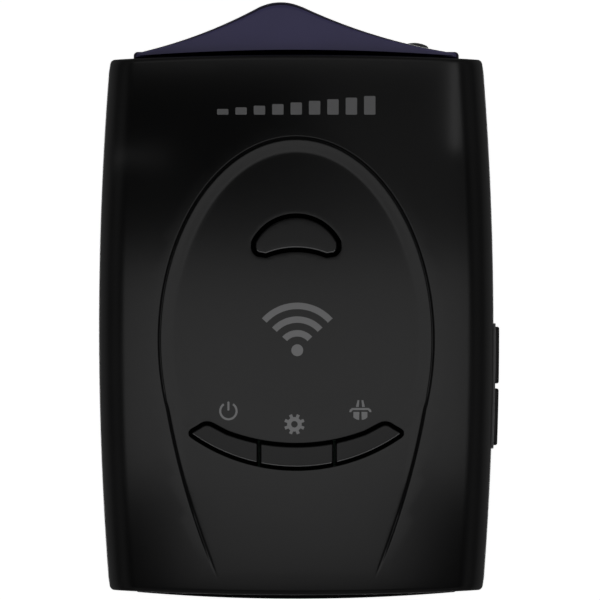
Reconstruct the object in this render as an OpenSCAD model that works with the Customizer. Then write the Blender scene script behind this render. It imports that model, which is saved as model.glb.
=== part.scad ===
// Dashboard radar and laser detector, opened along a level seam.
// Origin: middle of the flat underside. +Y points at the road, -Y at the driver, +Z up.

/* [Body] */
// Width of the body at its widest point
body_w = 76.4; // [75:0.2:79]
// Height of the body at the middle of its top face
body_h = 31; // [31:0.5:33]
// Distance from the origin to the middle of the front wall
body_front = 52.8; // [52:0.2:54]
// Distance from the origin to the middle of the rear wall
body_back = 51.6; // [51:0.1:53]
// Height of the seam between the two shells
seam_z = 11; // [10.6:0.1:11.4]
// Wall thickness of both shells
wall = 1.8; // [1.6:0.1:2]

/* [Dished top] */
// Depth of the crisp step round the dish
dish_step = 0.4; // [0.2:0.1:0.6]
// Fall across the sloping band inside the step
dish_drop = 1.3; // [1:0.1:1.5]
// Width of the sloping band
dish_band = 2.8; // [2.4:0.1:3.2]
// Extra depth of the bowl in the middle of the dish
bowl_depth = 1.3; // [0.8:0.1:1.4]

/* [Keys] */
// Gap between a key and its opening
key_gap = 0.35; // [0.3:0.05:0.4]
// How far a top key travels
key_travel = 0.45; // [0.3:0.05:0.5]
// How far the two side keys stand out of the side wall
side_key_proud = 1.1; // [0.9:0.1:1.3]

/* [Lens] */
// Level of the underside of the front lens
lens_z0 = 14.5; // [14:0.5:15]
// Level of the top of the front lens
lens_z1 = 27.5; // [27:0.25:28]
// Wall thickness of the front lens
lens_wall = 1.6; // [1.4:0.1:1.8]

/* [Sockets] */
// Bore of the power socket
jack_bore = 3.6; // [3.5:0.05:3.7]
// Width of the slot for the windscreen bracket
slot_w = 20; // [19:0.5:21]
// Height of the slot for the windscreen bracket
slot_h = 2.8; // [2.6:0.1:3]
// Depth of the slot for the windscreen bracket
slot_len = 15; // [14:0.5:16]

/* [Hidden] */
$fn = 48;

// ---- shape of the body ----
// Radius of the gently bowed long sides
side_r = 641;
// Radii of the crowned top face across and along the body
crown_rx = 500;
crown_ry = 1300;
// Width and height of the rolled upper long edges
roll_w = 5.2;
roll_h = 6;
// Radius of the lower long edges
base_round = 5;
// Radius of the front and rear edges
end_round = 1;
// How far the front and rear walls fall back at 35 mm from the middle
end_fall = 0.9;
end_fall_at = 35;

// ---- dish ----
dish_a = 26.6;
dish_b = 39.2;
dish_y = -2.3;
// The dish turns from an ellipse into a tapering tongue here
tongue_y0 = -15;
tongue_y1 = -49;
tongue_x0 = 25.1;
tongue_x1 = 15.1;
tongue_bow = 1.05;
// The tongue starts to rise at the first level and runs out at the second
fade_y0 = -18;
fade_y1 = -47.5;
// Sloping strip beside the tongue: its greatest width, its fall, and where it starts, peaks and ends
strip_w = 2.4;
strip_fall = 0.2;
strip_y = [-10, -18, -38];
// Rounding where the bowl's sides meet its lower edge
bowl_corner = 3;
bowl_c = [0, 6.8];
bowl_size = [23, 29];
// Underside of the thick floor below the dish, the level it is buried at and its rear end
dish_floor_z = 26;
dish_floor_top = 29.4;
dish_floor_y = -46.5;

// ---- key row ----
row_low = [0, 8.1];
row_low_r = 35;
row_high = [0, 15.3];
row_high_r = 38.2;
// The upper curve ends here, where the lobes begin
row_high_x = 13.6;
row_tip_x = 20.1;
row_lobe = [17.25, -20.5];
row_lobe_r = 1.8;
row_split = [-7.2, 7.4];
row_key_gap = 0.5;
row_key_top = 30.15;
row_key_floor = 27.7;
flange_t = 0.8;
flange_lip = 0.8;
flange_play = 0.15;

// ---- crescent key ----
mute_c = [0, 17.6];
mute_top = 28.15;
mute_back = [0, 12.4];
mute_back_r = 9.2;
mute_hollow = [0, -0.4];
mute_hollow_r = 15.6;
mute_half = 8.2;
mute_corner = 1.3;

// ---- boards and switches ----
board_z = 18;
board_t = 1.2;
board_top = board_z + board_t;
switch_size = 6;
switch_h = 3.5;
plunger_r = 1.75;
plunger_hole_r = 1.85;
// The plunger stays clear of the switch over the whole travel
plunger_top = board_top + switch_h + key_travel + 0.55;
top_switch_at = [[-14, -22.6], [0, -24.8], [14, -22.6], mute_c];

// ---- side keys ----
side_key_len = 11;
side_key_y = [-5.25, -17.2];
side_key_edge = 0.4;
side_key_h = 4.6;
side_key_z = 21.2;
side_plunger_r = 1.3;

// ---- fasteners ----
// Level where the bosses of the top shell end inside its roof
boss_top = 28.7;
housing_screw_at = [[29.5, 31], [-29.5, 31], [29.5, -41], [-29.5, -41]];
board_screw_at = [[-28.5, 20], [28.5, 14], [28.5, -31], [-28.5, -22]];
horn_screw_at = [[8, -5.5], [-8, -5.5], [8, 9.5], [-8, 9.5]];

// ---- speaker ----
speaker_at = [0, -24];
speaker_r = 14;

// ---- power socket and data port ----
jack_y = -30;
jack_z = 14.6;
jack_nose_r = 2.9;
jack_x = -36.9;
jack_bore_len = 12;
usb_y = -14;
usb_z = 15.9;

// ---- bracket slot and its release ----
slot_z0 = 2.6;
slot_y0 = body_front - slot_len;
release_x = 23;
release_z = 5.3;
release_r = 2.8;
latch_y0 = 38;
latch_y1 = 41.2;
latch_z0 = 2.9;
latch_z1 = 5.1;
latch_end_x = 27;
spring_end_x = 32;
// The 45 degree faces of the release button and the latch lie on x - y = this
wedge_line = -21.8;

// ---- front lens ----
// Clearance between the lens and the front wall
lens_gap = 0.13;

// ---- laser receiver ----
laser_axis = [-3, 23.8];

// ---- display ----
display_half = 31;
display_z = [14.4, 25.6];
// How far the display window stands out of the rear wall
window_proud = 0.8;

// ---- curves ----
function side_half(y) = body_w / 2 - side_r + sqrt(side_r * side_r - y * y);
function crown(x, y) = body_h - x * x / (2 * crown_rx) - y * y / (2 * crown_ry);
function end_shift(x) = end_fall * pow(x / end_fall_at, 2);
function arc(c, r, a0, a1, n) = [for (i = [0 : n]) let (a = a0 + (a1 - a0) * i / n) c + r * [cos(a), sin(a)]];
// A curve from p to q that bows to its left by s
function bow(p, q, s, n) = let (side = [p.y - q.y, q.x - p.x] / norm(q - p))
    [for (i = [0 : n]) let (t = i / n) p + t * (q - p) + 4 * s * t * (1 - t) * side];
function mirrored(pts) = [for (i = [len(pts) - 1 : -1 : 0]) [-pts[i].x, pts[i].y]];
function total(pts, k, i = 0) = i == len(pts) ? 0 : pts[i][k] + total(pts, k, i + 1);
function mean(pts) = [for (k = [0 : 2]) total(pts, k) / len(pts)];

// A skin over rings that all have the same number of points, closed at both ends
module loft(rings) {
    n = len(rings[0]);
    m = len(rings);
    points = concat([for (r = rings) each r], [mean(rings[0]), mean(rings[m - 1])]);
    sides = [for (i = [0 : m - 2], j = [0 : n - 1]) let (a = i * n + j, b = i * n + (j + 1) % n)
        each [[a, b + n, b], [a, a + n, b + n]]];
    ends = [for (j = [0 : n - 1]) let (k = (j + 1) % n)
        each [[m * n, j, k], [m * n + 1, (m - 1) * n + k, (m - 1) * n + j]]];
    polyhedron(points = points, faces = concat(sides, ends), convexity = 8);
}

// Its children joined as one moulded skin
module moulded() {
    resize([0, 0, 0]) children();
}

// ---- body ----
// The roof (up is 1) or the base (up is -1) of the body inset by d, as a height over the plan
function cap_height(x, y, d, up) = let (
    rw = (up > 0 ? roll_w : base_round) - d,
    rh = (up > 0 ? roll_h : base_round) - d,
    q = min(1, max(0, (abs(x) - side_half(y) + d + rw) / rw)),
    drop = rh * (1 - sqrt(1 - q * q)))
    up > 0 ? crown(x, y) - d - drop : d + drop;

// Quarter outline of the plan from the middle of a side to the middle of an end, as [x, y, share of
// end]; t is the angle reached round the edge and way is 1 at the front and -1 at the rear
function plan_quarter(d, t, up, way) = let (
    rw = (up > 0 ? roll_w : base_round) - d,
    er = max(end_round - d, 0.3),
    reach = (way > 0 ? body_front : body_back) - d - er * (1 - cos(t)),
    in = d + rw * (1 - cos(t)),
    cx = side_half(reach) - in - end_round,
    cy = reach - end_shift(cx) - end_round)
    concat(
        [for (i = [0 : 5]) let (y = cy * i / 6) [side_half(y) - in, way * y, 0]],
        [for (i = [0 : 3]) let (a = 30 * i)
            [cx + end_round * cos(a), way * (cy + end_round * sin(a)), sin(a)]],
        [for (i = [5 : -1 : 0]) let (x = cx * i / 6) [x, way * (reach - end_shift(x)), 1]]);

// The same all round, from the middle of the right side over the front
function plan_loop(d, t, up) = let (
    f = plan_quarter(d, t, up, 1),
    r = plan_quarter(d, t, up, -1),
    n = len(f))
    concat(
        f,
        [for (i = [n - 2 : -1 : 0]) [-f[i].x, f[i].y, f[i].z]],
        [for (i = [1 : n - 1]) [-r[i].x, r[i].y, r[i].z]],
        [for (i = [n - 2 : -1 : 1]) r[i]]);

function edge_ring(d, t, up) = let (er = max(end_round - d, 0.3))
    [for (p = plan_loop(d, t, up))
        [p.x, p.y, cap_height(p.x, p.y, d, up) - up * er * (1 - sin(t)) * p.z]];
function seam_ring(d, up) = [for (p = plan_loop(d, 0, up)) [p.x, p.y, seam_z]];
function inner_ring(d, s, up) = [for (p = plan_loop(d, 90, up))
    [p.x * s, p.y * s, cap_height(p.x * s, p.y * s, d, up)]];

// One side of a shell, from the seam to the middle of the roof or base
function shell_rings(d, up) = concat(
    [seam_ring(d, up)],
    [for (t = [0, 16, 32, 48, 64, 78, 90]) edge_ring(d, t, up)],
    [for (s = [0.8, 0.57, 0.3]) inner_ring(d, s, up)]);

// A shell of even thickness from the seam upwards (up is 1) or downwards (up is -1)
module shell_skin(up) {
    inner = shell_rings(wall, up);
    n = len(inner);
    rings = concat([for (i = [n - 1 : -1 : 0]) inner[i]], shell_rings(0, up));
    loft(up > 0 ? rings : [for (i = [len(rings) - 1 : -1 : 0]) rings[i]]);
}

// ---- dish ----
function dish_fade(y) = y > fade_y0 ? 1 : (y - fade_y1) / (fade_y0 - fade_y1);
function strip(y) = y > strip_y[0] || y < strip_y[2] ? 0
    : y > strip_y[1] ? strip_w * (y - strip_y[0]) / (strip_y[1] - strip_y[0])
    : strip_w * pow((y - strip_y[2]) / (strip_y[1] - strip_y[2]), 1.4);
function tongue_z(x, y) = crown(x, y) - dish_step * dish_fade(y) - strip_fall * strip(y);
function bowl(x, y) = bowl_depth
    * max(0, 1 - pow((x - bowl_c.x) / bowl_size.x, 2) - pow((y - bowl_c.y) / bowl_size.y, 2));
function bowl_z(x, y) = crown(x, y) - dish_step - dish_drop - bowl(x, y);

// Right half of the crease round the dish and its tongue, from the driver's end to the road's
function half_dish() = let (
    tongue = bow([tongue_x1, tongue_y1], [tongue_x0, tongue_y0], -tongue_bow, 9),
    start = asin((tongue_y0 - dish_y) / dish_b))
    concat(
        [for (x = [0, 5, 10]) [x, tongue_y1]],
        [for (i = [0 : 8]) tongue[i]],
        [for (i = [0 : 15]) let (a = start + (90 - start) * i / 15)
            [dish_a * cos(a), dish_y + dish_b * sin(a)]]);
function dish_outline() = let (h = half_dish(), n = len(h))
    concat(h, [for (i = [n - 2 : -1 : 1]) [-h[i].x, h[i].y]]);

// The bowl's outline inset by the share k of the band: an ellipse cut off along the key row's lower
// edge, as its distance from the bowl's middle in the direction u
function smooth_min(u, v, m) = let (h = max(m - abs(u - v), 0) / m) min(u, v) - h * h * m / 4;
function bowl_reach(u, k) = let (
    a = dish_a - k * dish_band,
    b = dish_b - k * dish_band,
    r = row_low_r - k * dish_band,
    h = bowl_c.y - dish_y,
    e = bowl_c.y - row_low.y,
    p = pow(u.x / a, 2) + pow(u.y / b, 2),
    q = h * u.y / (b * b))
    smooth_min((sqrt(q * q - p * (h * h / (b * b) - 1)) - q) / p,
        sqrt(r * r - pow(e * u.x, 2)) - e * u.y, bowl_corner);
function bowl_ring(k, s) = [for (p = dish_outline()) let (d = p - bowl_c, u = d / norm(d))
    bowl_c + s * bowl_reach(u, k) * u];

module dish_cut() {
    loft(concat(
        [for (s = [0.1, 0.3, 0.54, 0.72, 0.88, 1]) [for (p = bowl_ring(1, s)) [p.x, p.y, bowl_z(p.x, p.y)]]],
        [[for (p = bowl_ring(0.05, 1)) [p.x, p.y, tongue_z(p.x, p.y) - 0.05]]],
        [[for (p = dish_outline()) [p.x, p.y, crown(p.x, p.y) - dish_step * dish_fade(p.y)]]],
        [[for (p = dish_outline()) [p.x, p.y, body_h + 2]]]));
}

// ---- outlines of the keys ----
function row_half() = let (a = asin(row_tip_x / row_low_r), b = asin(row_high_x / row_high_r))
    concat(
        arc(row_low, row_low_r, -90, -90 + a, 10),
        arc(row_lobe, row_lobe_r, 47, 118, 5),
        arc(row_high, row_high_r, -90 + b, -90, 6));
module row_outline() {
    half = row_half();
    n = len(half);
    polygon(concat(half, [for (i = [n - 2 : -1 : 1]) [-half[i].x, half[i].y]]));
}
module row_key_outline(x0, x1) {
    intersection() {
        row_outline();
        translate([x0, -40])
            square([x1 - x0, 40]);
    }
}
module mute_outline() {
    offset(r = mute_corner)
        offset(delta = -mute_corner)
            difference() {
                intersection() {
                    translate(mute_back)
                        circle(r = mute_back_r, $fn = 72);
                    translate([-mute_half, 0])
                        square([2 * mute_half, 25]);
                }
                translate(mute_hollow)
                    circle(r = mute_hollow_r, $fn = 96);
            }
}

// ---- shells ----
module top_shell() {
    color("#17181a")
        moulded()
            difference() {
                union() {
                    shell_skin(1);
                    dish_floor();
                    top_bosses();
                }
                dish_cut();
                key_openings();
                front_opening();
                rear_opening();
                side_openings();
                boss_pilots();
            }
}

// Thick floor under the dish, buried in the roof
module dish_floor() {
    translate([0, 0, dish_floor_z])
        linear_extrude(dish_floor_top - dish_floor_z)
            intersection() {
                offset(delta = 0.9)
                    polygon(dish_outline());
                translate([-body_w / 2, dish_floor_y])
                    square([body_w, body_front - dish_floor_y]);
            }
}

module top_bosses() {
    for (p = housing_screw_at)
        translate([p.x, p.y, seam_z + 0.1])
            cylinder(r = 3, h = boss_top - seam_z - 0.1, $fn = 16);
    for (p = board_screw_at)
        translate([p.x, p.y, board_top])
            cylinder(r = 2.3, h = boss_top - board_top, $fn = 16);
}

module boss_pilots() {
    for (p = housing_screw_at)
        translate([p.x, p.y, seam_z - 1])
            cylinder(r = 1, h = 11, $fn = 12);
    for (p = board_screw_at)
        translate([p.x, p.y, board_top - 1])
            cylinder(r = 0.8, h = 6.5, $fn = 12);
}

module key_openings() {
    translate([0, 0, row_key_floor])
        linear_extrude(5)
            offset(delta = key_gap)
                row_outline();
    translate([0, 0, dish_floor_z - 1])
        linear_extrude(row_key_floor + 1 - dish_floor_z)
            offset(delta = key_gap + flange_lip)
                row_outline();
    translate([0, 0, dish_floor_z - 1])
        linear_extrude(5)
            offset(delta = key_gap)
                mute_outline();
}

module front_opening() {
    translate([-29, body_front - 6, lens_z0 + 0.9])
        cube([58, 8, lens_z1 - lens_z0 - 1.8]);
}

module rear_opening() {
    translate([-display_half, -body_back - 2, display_z[0]])
        cube([2 * display_half, 6, display_z[1] - display_z[0]]);
}

module side_openings() {
    y0 = side_key_y[1] - side_key_len / 2;
    y1 = side_key_y[0] + side_key_len / 2;
    h = side_key_h + 2 * key_gap;
    translate([34, y0 - key_gap, side_key_z - h / 2])
        cube([6, y1 - y0 + 2 * key_gap, h]);
    translate([-34, jack_y, jack_z])
        rotate([0, -90, 0])
            cylinder(r = jack_nose_r + 0.1, h = 6, $fn = 32);
    translate([-40, usb_y - 4.1, usb_z - 2.1])
        cube([6, 8.2, 4.2]);
}

module bottom_shell() {
    color("#141517")
        moulded()
            difference() {
                union() {
                    shell_skin(-1);
                    bottom_bosses();
                    slot_guide();
                    speaker_collar();
                    latch_ribs();
                    seam_tabs();
                }
                bracket_slot();
                release_hole();
                screw_wells();
                speaker_slots();
                label_seat();
            }
}

// Tabs inside the seam that hold the two shells in line
module seam_tabs() {
    for (side = [-1, 1], y = [-22, 4, 18]) {
        x = side_half(abs(y) + 4) - wall;
        translate([side * (x - 0.6), y, seam_z - 1.2])
            cube([1.4, 8, 2], center = true);
        translate([side * (x - 0.7), y, seam_z])
            cube([1, 8, 3], center = true);
    }
}

module bottom_bosses() {
    for (p = housing_screw_at)
        translate([p.x, p.y, 0.8])
            cylinder(r = 3, h = seam_z - 0.9, $fn = 16);
}

module screw_wells() {
    for (p = housing_screw_at)
        translate([p.x, p.y, -1]) {
            cylinder(r = 1.3, h = seam_z + 2, $fn = 12);
            cylinder(r = 2.3, h = 4, $fn = 16);
        }
}

module slot_guide() {
    half = slot_w / 2;
    translate([-half - 1.4, slot_y0 - 1.4, 0.5])
        cube([slot_w + 2.8, slot_len, slot_z0 + slot_h + 1]);
}

module bracket_slot() {
    translate([-slot_w / 2, slot_y0, slot_z0])
        cube([slot_w, slot_len + 2, slot_h]);
    translate([slot_w / 2 - 1, latch_y0 - 0.2, latch_z0 - 0.2])
        cube([4, latch_y1 - latch_y0 + 0.4, latch_z1 - latch_z0 + 0.4]);
}

module latch_ribs() {
    translate([spring_end_x, latch_y0 - 1, 1])
        cube([1.4, latch_y1 - latch_y0 + 2, 6]);
    for (y = [latch_y0 - 1.5, latch_y1 + 0.3])
        translate([12.4, y, 1])
            cube([7, 1.2, 4.6]);
}

module release_hole() {
    translate([release_x, body_front - 4, release_z])
        rotate([-90, 0, 0])
            cylinder(r = release_r + 0.15, h = 6, $fn = 32);
}

module speaker_collar() {
    translate([speaker_at.x, speaker_at.y, 1])
        difference() {
            cylinder(r = speaker_r + 1.6, h = 4.4, $fn = 36);
            cylinder(r = speaker_r + 0.3, h = 9, center = true, $fn = 36);
        }
}

module speaker_slots() {
    for (i = [-4 : 4]) {
        half = sqrt(pow(11.5, 2) - pow(2.4 * i, 2)) - 0.7;
        translate([speaker_at.x, speaker_at.y + 2.4 * i, -1])
            linear_extrude(4)
                hull()
                    for (s = [-1, 1])
                        translate([s * half, 0])
                            circle(r = 0.65, $fn = 10);
    }
}

module label_seat() {
    translate([-17, 8, -1])
        cube([34, 20, 1.3]);
}

module rating_label() {
    color("#9a9c9e")
        translate([-16.8, 8.2, 0.1])
            cube([33.6, 19.6, 0.2]);
}

// ---- front lens ----
function lens_outline(k) = let (
    right = arc([30.3, 52.6], 0.8, 0, 90, 3),
    flank_r = bow([29.2, 53.4], [3.3, 61.1], 0.9, 8),
    apex = bow([2.2, 61.6], [-8.2, 61.6], -1.4, 8),
    flank_l = bow([-9.05, 61.1], [-29.9, 53.4], 0.7, 8),
    base = [for (x = [-31.1 : 6.22 : 31.2]) [x, body_front + lens_gap - end_shift(x)]],
    foot = body_front - 0.7)
    [for (p = concat(right, flank_r, apex, flank_l, mirrored(right), base))
        [p.x * (1 - k / 31), foot + (p.y - foot) * (1 - k / 10)]];

// The lens bulge inset by d, with its upper and lower edges rounded by r
module lens_solid(d, r) {
    z0 = lens_z0 + d;
    z1 = lens_z1 - d;
    loft(concat(
        [for (i = [0 : 3]) let (a = 30 * i) lens_ring(d + r * (1 - sin(a)), z0 + r * (1 - cos(a)))],
        [for (i = [3 : -1 : 0]) let (a = 30 * i) lens_ring(d + r * (1 - sin(a)), z1 - r * (1 - cos(a)))]));
}
function lens_ring(k, z) = [for (p = lens_outline(k)) [p.x, p.y, z]];

module front_lens() {
    color("#2a2740")
        moulded()
            difference() {
                union() {
                    lens_solid(0, 1.2);
                    translate([-28.8, body_front - 3.6, lens_z0 + 1.1])
                        cube([57.6, 4, lens_z1 - lens_z0 - 2.2]);
                }
                intersection() {
                    lens_solid(lens_wall, 0.6);
                    translate([-28, body_front, 0])
                        cube([56, 20, 40]);
                }
                translate([-27.4, body_front - 5, lens_z0 + 2.5])
                    cube([54.8, 6, lens_z1 - lens_z0 - 5]);
            }
}

// ---- rear display ----
// A plate that follows the rear wall from y_out to y_in, its outer face bowed more by the factor fall
module window_plate(half, y_out, y_in, fall) {
    steps = [-1 : 1 / 6 : 1.01];
    polygon(concat(
        [for (t = steps) [t * half, fall * end_shift(half * t) - y_out]],
        [for (t = steps) [-t * half, end_shift(half * t) - y_in]]));
}

module display_window() {
    inner = body_back - wall;
    color("#0c0d10") {
        translate([0, 0, display_z[0] + 0.05])
            linear_extrude(display_z[1] - display_z[0] - 0.1)
                window_plate(display_half - 0.05, body_back + window_proud, inner - 0.3, 1.9);
        translate([0, 0, display_z[0] - 0.9])
            linear_extrude(display_z[1] - display_z[0] + 1.8)
                window_plate(display_half + 0.9, inner - 0.06, inner - 0.8, 1);
    }
}

module display_panel() {
    color("#20242b")
        translate([-25, -48.4, 14.6])
            cube([50, 1.3, 10.8]);
}

module display_board() {
    color("#0f5132")
        translate([-25.5, -47.1, 13.8])
            cube([51, 1, 12]);
}

module display_ribbon() {
    color("#c98a2b")
        translate([-8, 0, 0])
            rotate([90, 0, 90])
                linear_extrude(16)
                    polygon(concat(
                        bow([-46.1, 15.2], [-41, 17.95], -0.9, 8),
                        bow([-41, 17.75], [-46.1, 15], 0.9, 8)));
}

// ---- top keys ----
// A key cap of the child outline, with its crowned face at level top
module key_cap(top, bottom) {
    intersection() {
        translate([0, 0, bottom])
            linear_extrude(top - bottom + 1)
                children();
        translate([0, 0, top - crown_rx])
            rotate([90, 0, 0])
                cylinder(r = crown_rx, h = 120, center = true, $fn = 720);
    }
}

module row_key(x0, x1, stem) {
    flange_z = row_key_floor - flange_play - flange_t;
    key_cap(row_key_top, flange_z)
        row_key_outline(x0, x1);
    translate([0, 0, flange_z])
        linear_extrude(flange_t)
            intersection() {
                offset(delta = flange_lip - 0.15)
                    row_outline();
                translate([x0, -40])
                    square([x1 - x0, 40]);
            }
    translate([stem.x, stem.y, plunger_top])
        cylinder(r = 1.6, h = flange_z - plunger_top + 0.1);
}

module power_button() {
    color("#26272a")
        row_key(-30, row_split[0] - row_key_gap / 2, top_switch_at[0]);
}

module settings_button() {
    color("#26272a")
        row_key(row_split[0] + row_key_gap / 2, row_split[1] - row_key_gap / 2, top_switch_at[1]);
}

module mode_button() {
    color("#26272a")
        row_key(row_split[1] + row_key_gap / 2, 30, top_switch_at[2]);
}

module mute_button() {
    flange_z = dish_floor_z - flange_play - flange_t;
    color("#26272a") {
        translate([0, 0, flange_z])
            linear_extrude(mute_top - flange_z)
                mute_outline();
        translate([0, 0, flange_z])
            linear_extrude(flange_t)
                offset(delta = flange_lip)
                    mute_outline();
        translate([mute_c.x, mute_c.y, plunger_top])
            cylinder(r = 1.6, h = flange_z - plunger_top + 0.1);
    }
}

module top_plunger(i) {
    color("#d8d4c8")
        translate([top_switch_at[i].x, top_switch_at[i].y, board_top + 3])
            cylinder(r = plunger_r, h = plunger_top - board_top - 3);
}
module power_plunger() {
    top_plunger(0);
}
module settings_plunger() {
    top_plunger(1);
}
module mode_plunger() {
    top_plunger(2);
}
module mute_plunger() {
    top_plunger(3);
}

module top_switches() {
    color("#3a3b3d")
        for (p = top_switch_at)
            translate([p.x, p.y, board_top])
                difference() {
                    translate([-switch_size / 2, -switch_size / 2, 0])
                        cube([switch_size, switch_size, switch_h]);
                    translate([0, 0, 2.2])
                        cylinder(r = plunger_hole_r, h = 3);
                }
}

// ---- side keys ----
module side_key(y) {
    half = side_key_len / 2;
    inner_x = side_half(side_key_y[1] - half) - wall;
    front_x = side_half(y + half) + side_key_proud;
    rear_x = side_half(y - half) + side_key_proud;
    translate([0, y, side_key_z - side_key_h / 2])
        linear_extrude(side_key_h)
            polygon([
                [inner_x - 1.4, -half], [rear_x - side_key_edge, -half], [rear_x, side_key_edge - half],
                [front_x, half - side_key_edge], [front_x - side_key_edge, half], [inner_x - 1.4, half]]);
    translate([inner_x - 1.1, y - half, side_key_z - side_key_h / 2 - 0.8])
        cube([0.8, side_key_len, side_key_h + 1.6]);
    translate([33.2, y, side_key_z])
        rotate([0, 90, 0])
            cylinder(r = 1.5, h = inner_x - 1.4 - 33.2 + 0.1);
}
module volume_up_button() {
    color("#1d1e20")
        side_key(side_key_y[0]);
}
module volume_down_button() {
    color("#1d1e20")
        side_key(side_key_y[1]);
}

module side_plunger(y) {
    color("#d8d4c8")
        translate([31.3, y, side_key_z])
            rotate([0, 90, 0])
                cylinder(r = side_plunger_r, h = 1.9);
}
module volume_up_plunger() {
    side_plunger(side_key_y[0]);
}
module volume_down_plunger() {
    side_plunger(side_key_y[1]);
}

module side_switches() {
    color("#3a3b3d")
        for (y = side_key_y)
            difference() {
                translate([28, y - 3, board_top])
                    cube([4, 6, 4]);
                translate([30.7, y, side_key_z])
                    rotate([0, 90, 0])
                        cylinder(r = side_plunger_r + 0.1, h = 3);
            }
}

// ---- main board ----
module main_board() {
    color("#0f5132")
        translate([0, 0, board_z])
            difference() {
                linear_extrude(board_t)
                    polygon([
                        [-32, -36], [-24, -36], [-24, -45], [24, -45], [24, -36], [32, -36],
                        [32, 26], [25, 26], [25, 46], [-25, 46], [-25, 26], [-32, 26]]);
                for (p = board_screw_at)
                    translate([p.x, p.y, -1])
                        cylinder(r = 1.1, h = 4);
            }
}

module board_part(c, size) {
    translate([c.x - size.x / 2, c.y - size.y / 2, board_top])
        cube(size);
}
module processor_chip() {
    color("#1b1b1d")
        board_part([-14, -4], [14, 14, 1.4]);
}
module memory_chips() {
    color("#1b1b1d") {
        board_part([-25, -8], [5, 6, 1.1]);
        board_part([-25, 0], [5, 6, 1.1]);
        board_part([2, -8], [6, 5, 1.1]);
    }
}
module shield_can() {
    color("#b9bcbf")
        board_part([-15, 14], [18, 14, 3]);
}
module inductor() {
    color("#2b2b2e")
        board_part([16, -36], [7, 7, 3.4]);
}
module gps_module() {
    color("#b9bcbf")
        board_part([15, 14], [12, 10, 2.4]);
}
module gps_patch_antenna() {
    color("#c9b79a") {
        board_part([14, 33], [18, 18, 4]);
        translate([14, 33, board_top + 4])
            cylinder(r = 0.8, h = 0.3);
    }
}
module capacitors() {
    color("#5b6f8a")
        for (x = [-20, -14, -8])
            translate([x, -36, board_top])
                cylinder(r = 2.4, h = 5.6);
}
module backup_capacitor() {
    color("#a8abae")
        translate([14, -6, board_top])
            cylinder(r = 5.5, h = 3.8);
}

// ---- microwave horn ----
module horn_block(z0, z1) {
    translate([0, 0, z0])
        linear_extrude(z1 - z0)
            polygon([[-11, -8], [11, -8], [11, 13], [17, 40], [17, 48.4], [-17, 48.4], [-17, 40], [-11, 13]]);
}
module microwave_horn() {
    color("#a7a9ac")
        difference() {
            horn_block(7.4, 16.4);
            translate([0, 0, 9])
                linear_extrude(6)
                    polygon([[-3.5, 10], [3.5, 10], [3.5, 14], [15.4, 41], [15.4, 50],
                        [-15.4, 50], [-15.4, 41], [-3.5, 14]]);
            translate([-5.5, -6.4, 9])
                cube([11, 17, 9]);
            translate([-9.6, -3, 12.2])
                cube([19.2, 10, 6]);
            for (p = horn_screw_at)
                translate([p.x, p.y, 12])
                    cylinder(r = 0.8, h = 6);
        }
}
module microwave_board() {
    color("#c8a15a")
        translate([-9.4, -2.8, 12.2])
            cube([18.8, 9.6, 0.9]);
}
module microwave_cover() {
    color("#b9bcbf")
        translate([0, 0, 16.4])
            difference() {
                linear_extrude(0.8)
                    polygon([[-11, -8], [11, -8], [11, 13], [-11, 13]]);
                for (p = horn_screw_at)
                    translate([p.x, p.y, -1])
                        cylinder(r = 1, h = 3);
            }
}

// ---- laser receiver ----
module laser_board() {
    color("#0f5132")
        translate([laser_axis.x - 6, 38.6, board_top])
            cube([12, 1, 8.4]);
}
module laser_diode() {
    color("#6f2430")
        translate([laser_axis.x, 39.6, laser_axis.y])
            rotate([-90, 0, 0]) {
                cylinder(r = 2.3, h = 1.2);
                translate([0, 0, 1.2])
                    cylinder(r = 1.7, h = 1);
            }
}
module laser_lens_holder() {
    color("#1b1b1d")
        translate([laser_axis.x, 39.7, laser_axis.y])
            rotate([-90, 0, 0])
                difference() {
                    cylinder(r = 4.2, h = 8.3);
                    translate([0, 0, -1])
                        cylinder(r = 2.6, h = 8);
                    translate([0, 0, 6])
                        cylinder(r = 3.6, h = 3);
                }
}
module laser_focus_lens() {
    color("#c9d6de")
        translate([laser_axis.x, 45.7, laser_axis.y])
            rotate([-90, 0, 0])
                intersection() {
                    cylinder(r = 3.55, h = 3);
                    translate([0, 0, -5.4])
                        sphere(r = 8);
                }
}

// ---- speaker ----
module at_speaker(z) {
    translate([speaker_at.x, speaker_at.y, z])
        children();
}
module speaker_gasket() {
    color("#3b3b3b")
        at_speaker(wall)
            difference() {
                cylinder(r = speaker_r, h = 0.6);
                translate([0, 0, -1])
                    cylinder(r = speaker_r - 1.8, h = 3);
            }
}
module speaker_frame() {
    color("#8d9093")
        at_speaker(wall + 0.6)
            rotate_extrude()
                polygon([[11.6, 0], [14, 0], [14, 1], [13.2, 1], [8.4, 4], [7.4, 4], [7.4, 3.2], [8, 3.2]]);
}
module speaker_cone() {
    color("#2e2c29")
        at_speaker(wall + 0.3)
            rotate_extrude()
                polygon([
                    [0, 2.6], [3, 2.9], [11, 0], [12.1, 0], [12.1, 0.3],
                    [11.2, 0.3], [7.6, 2.6], [3.2, 3.4], [0, 3.3]]);
}
module speaker_magnet() {
    color("#5d6063")
        at_speaker(wall + 4.6) {
            cylinder(r = 8.2, h = 0.8);
            cylinder(r = 6.6, h = 3.2);
        }
}

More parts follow.
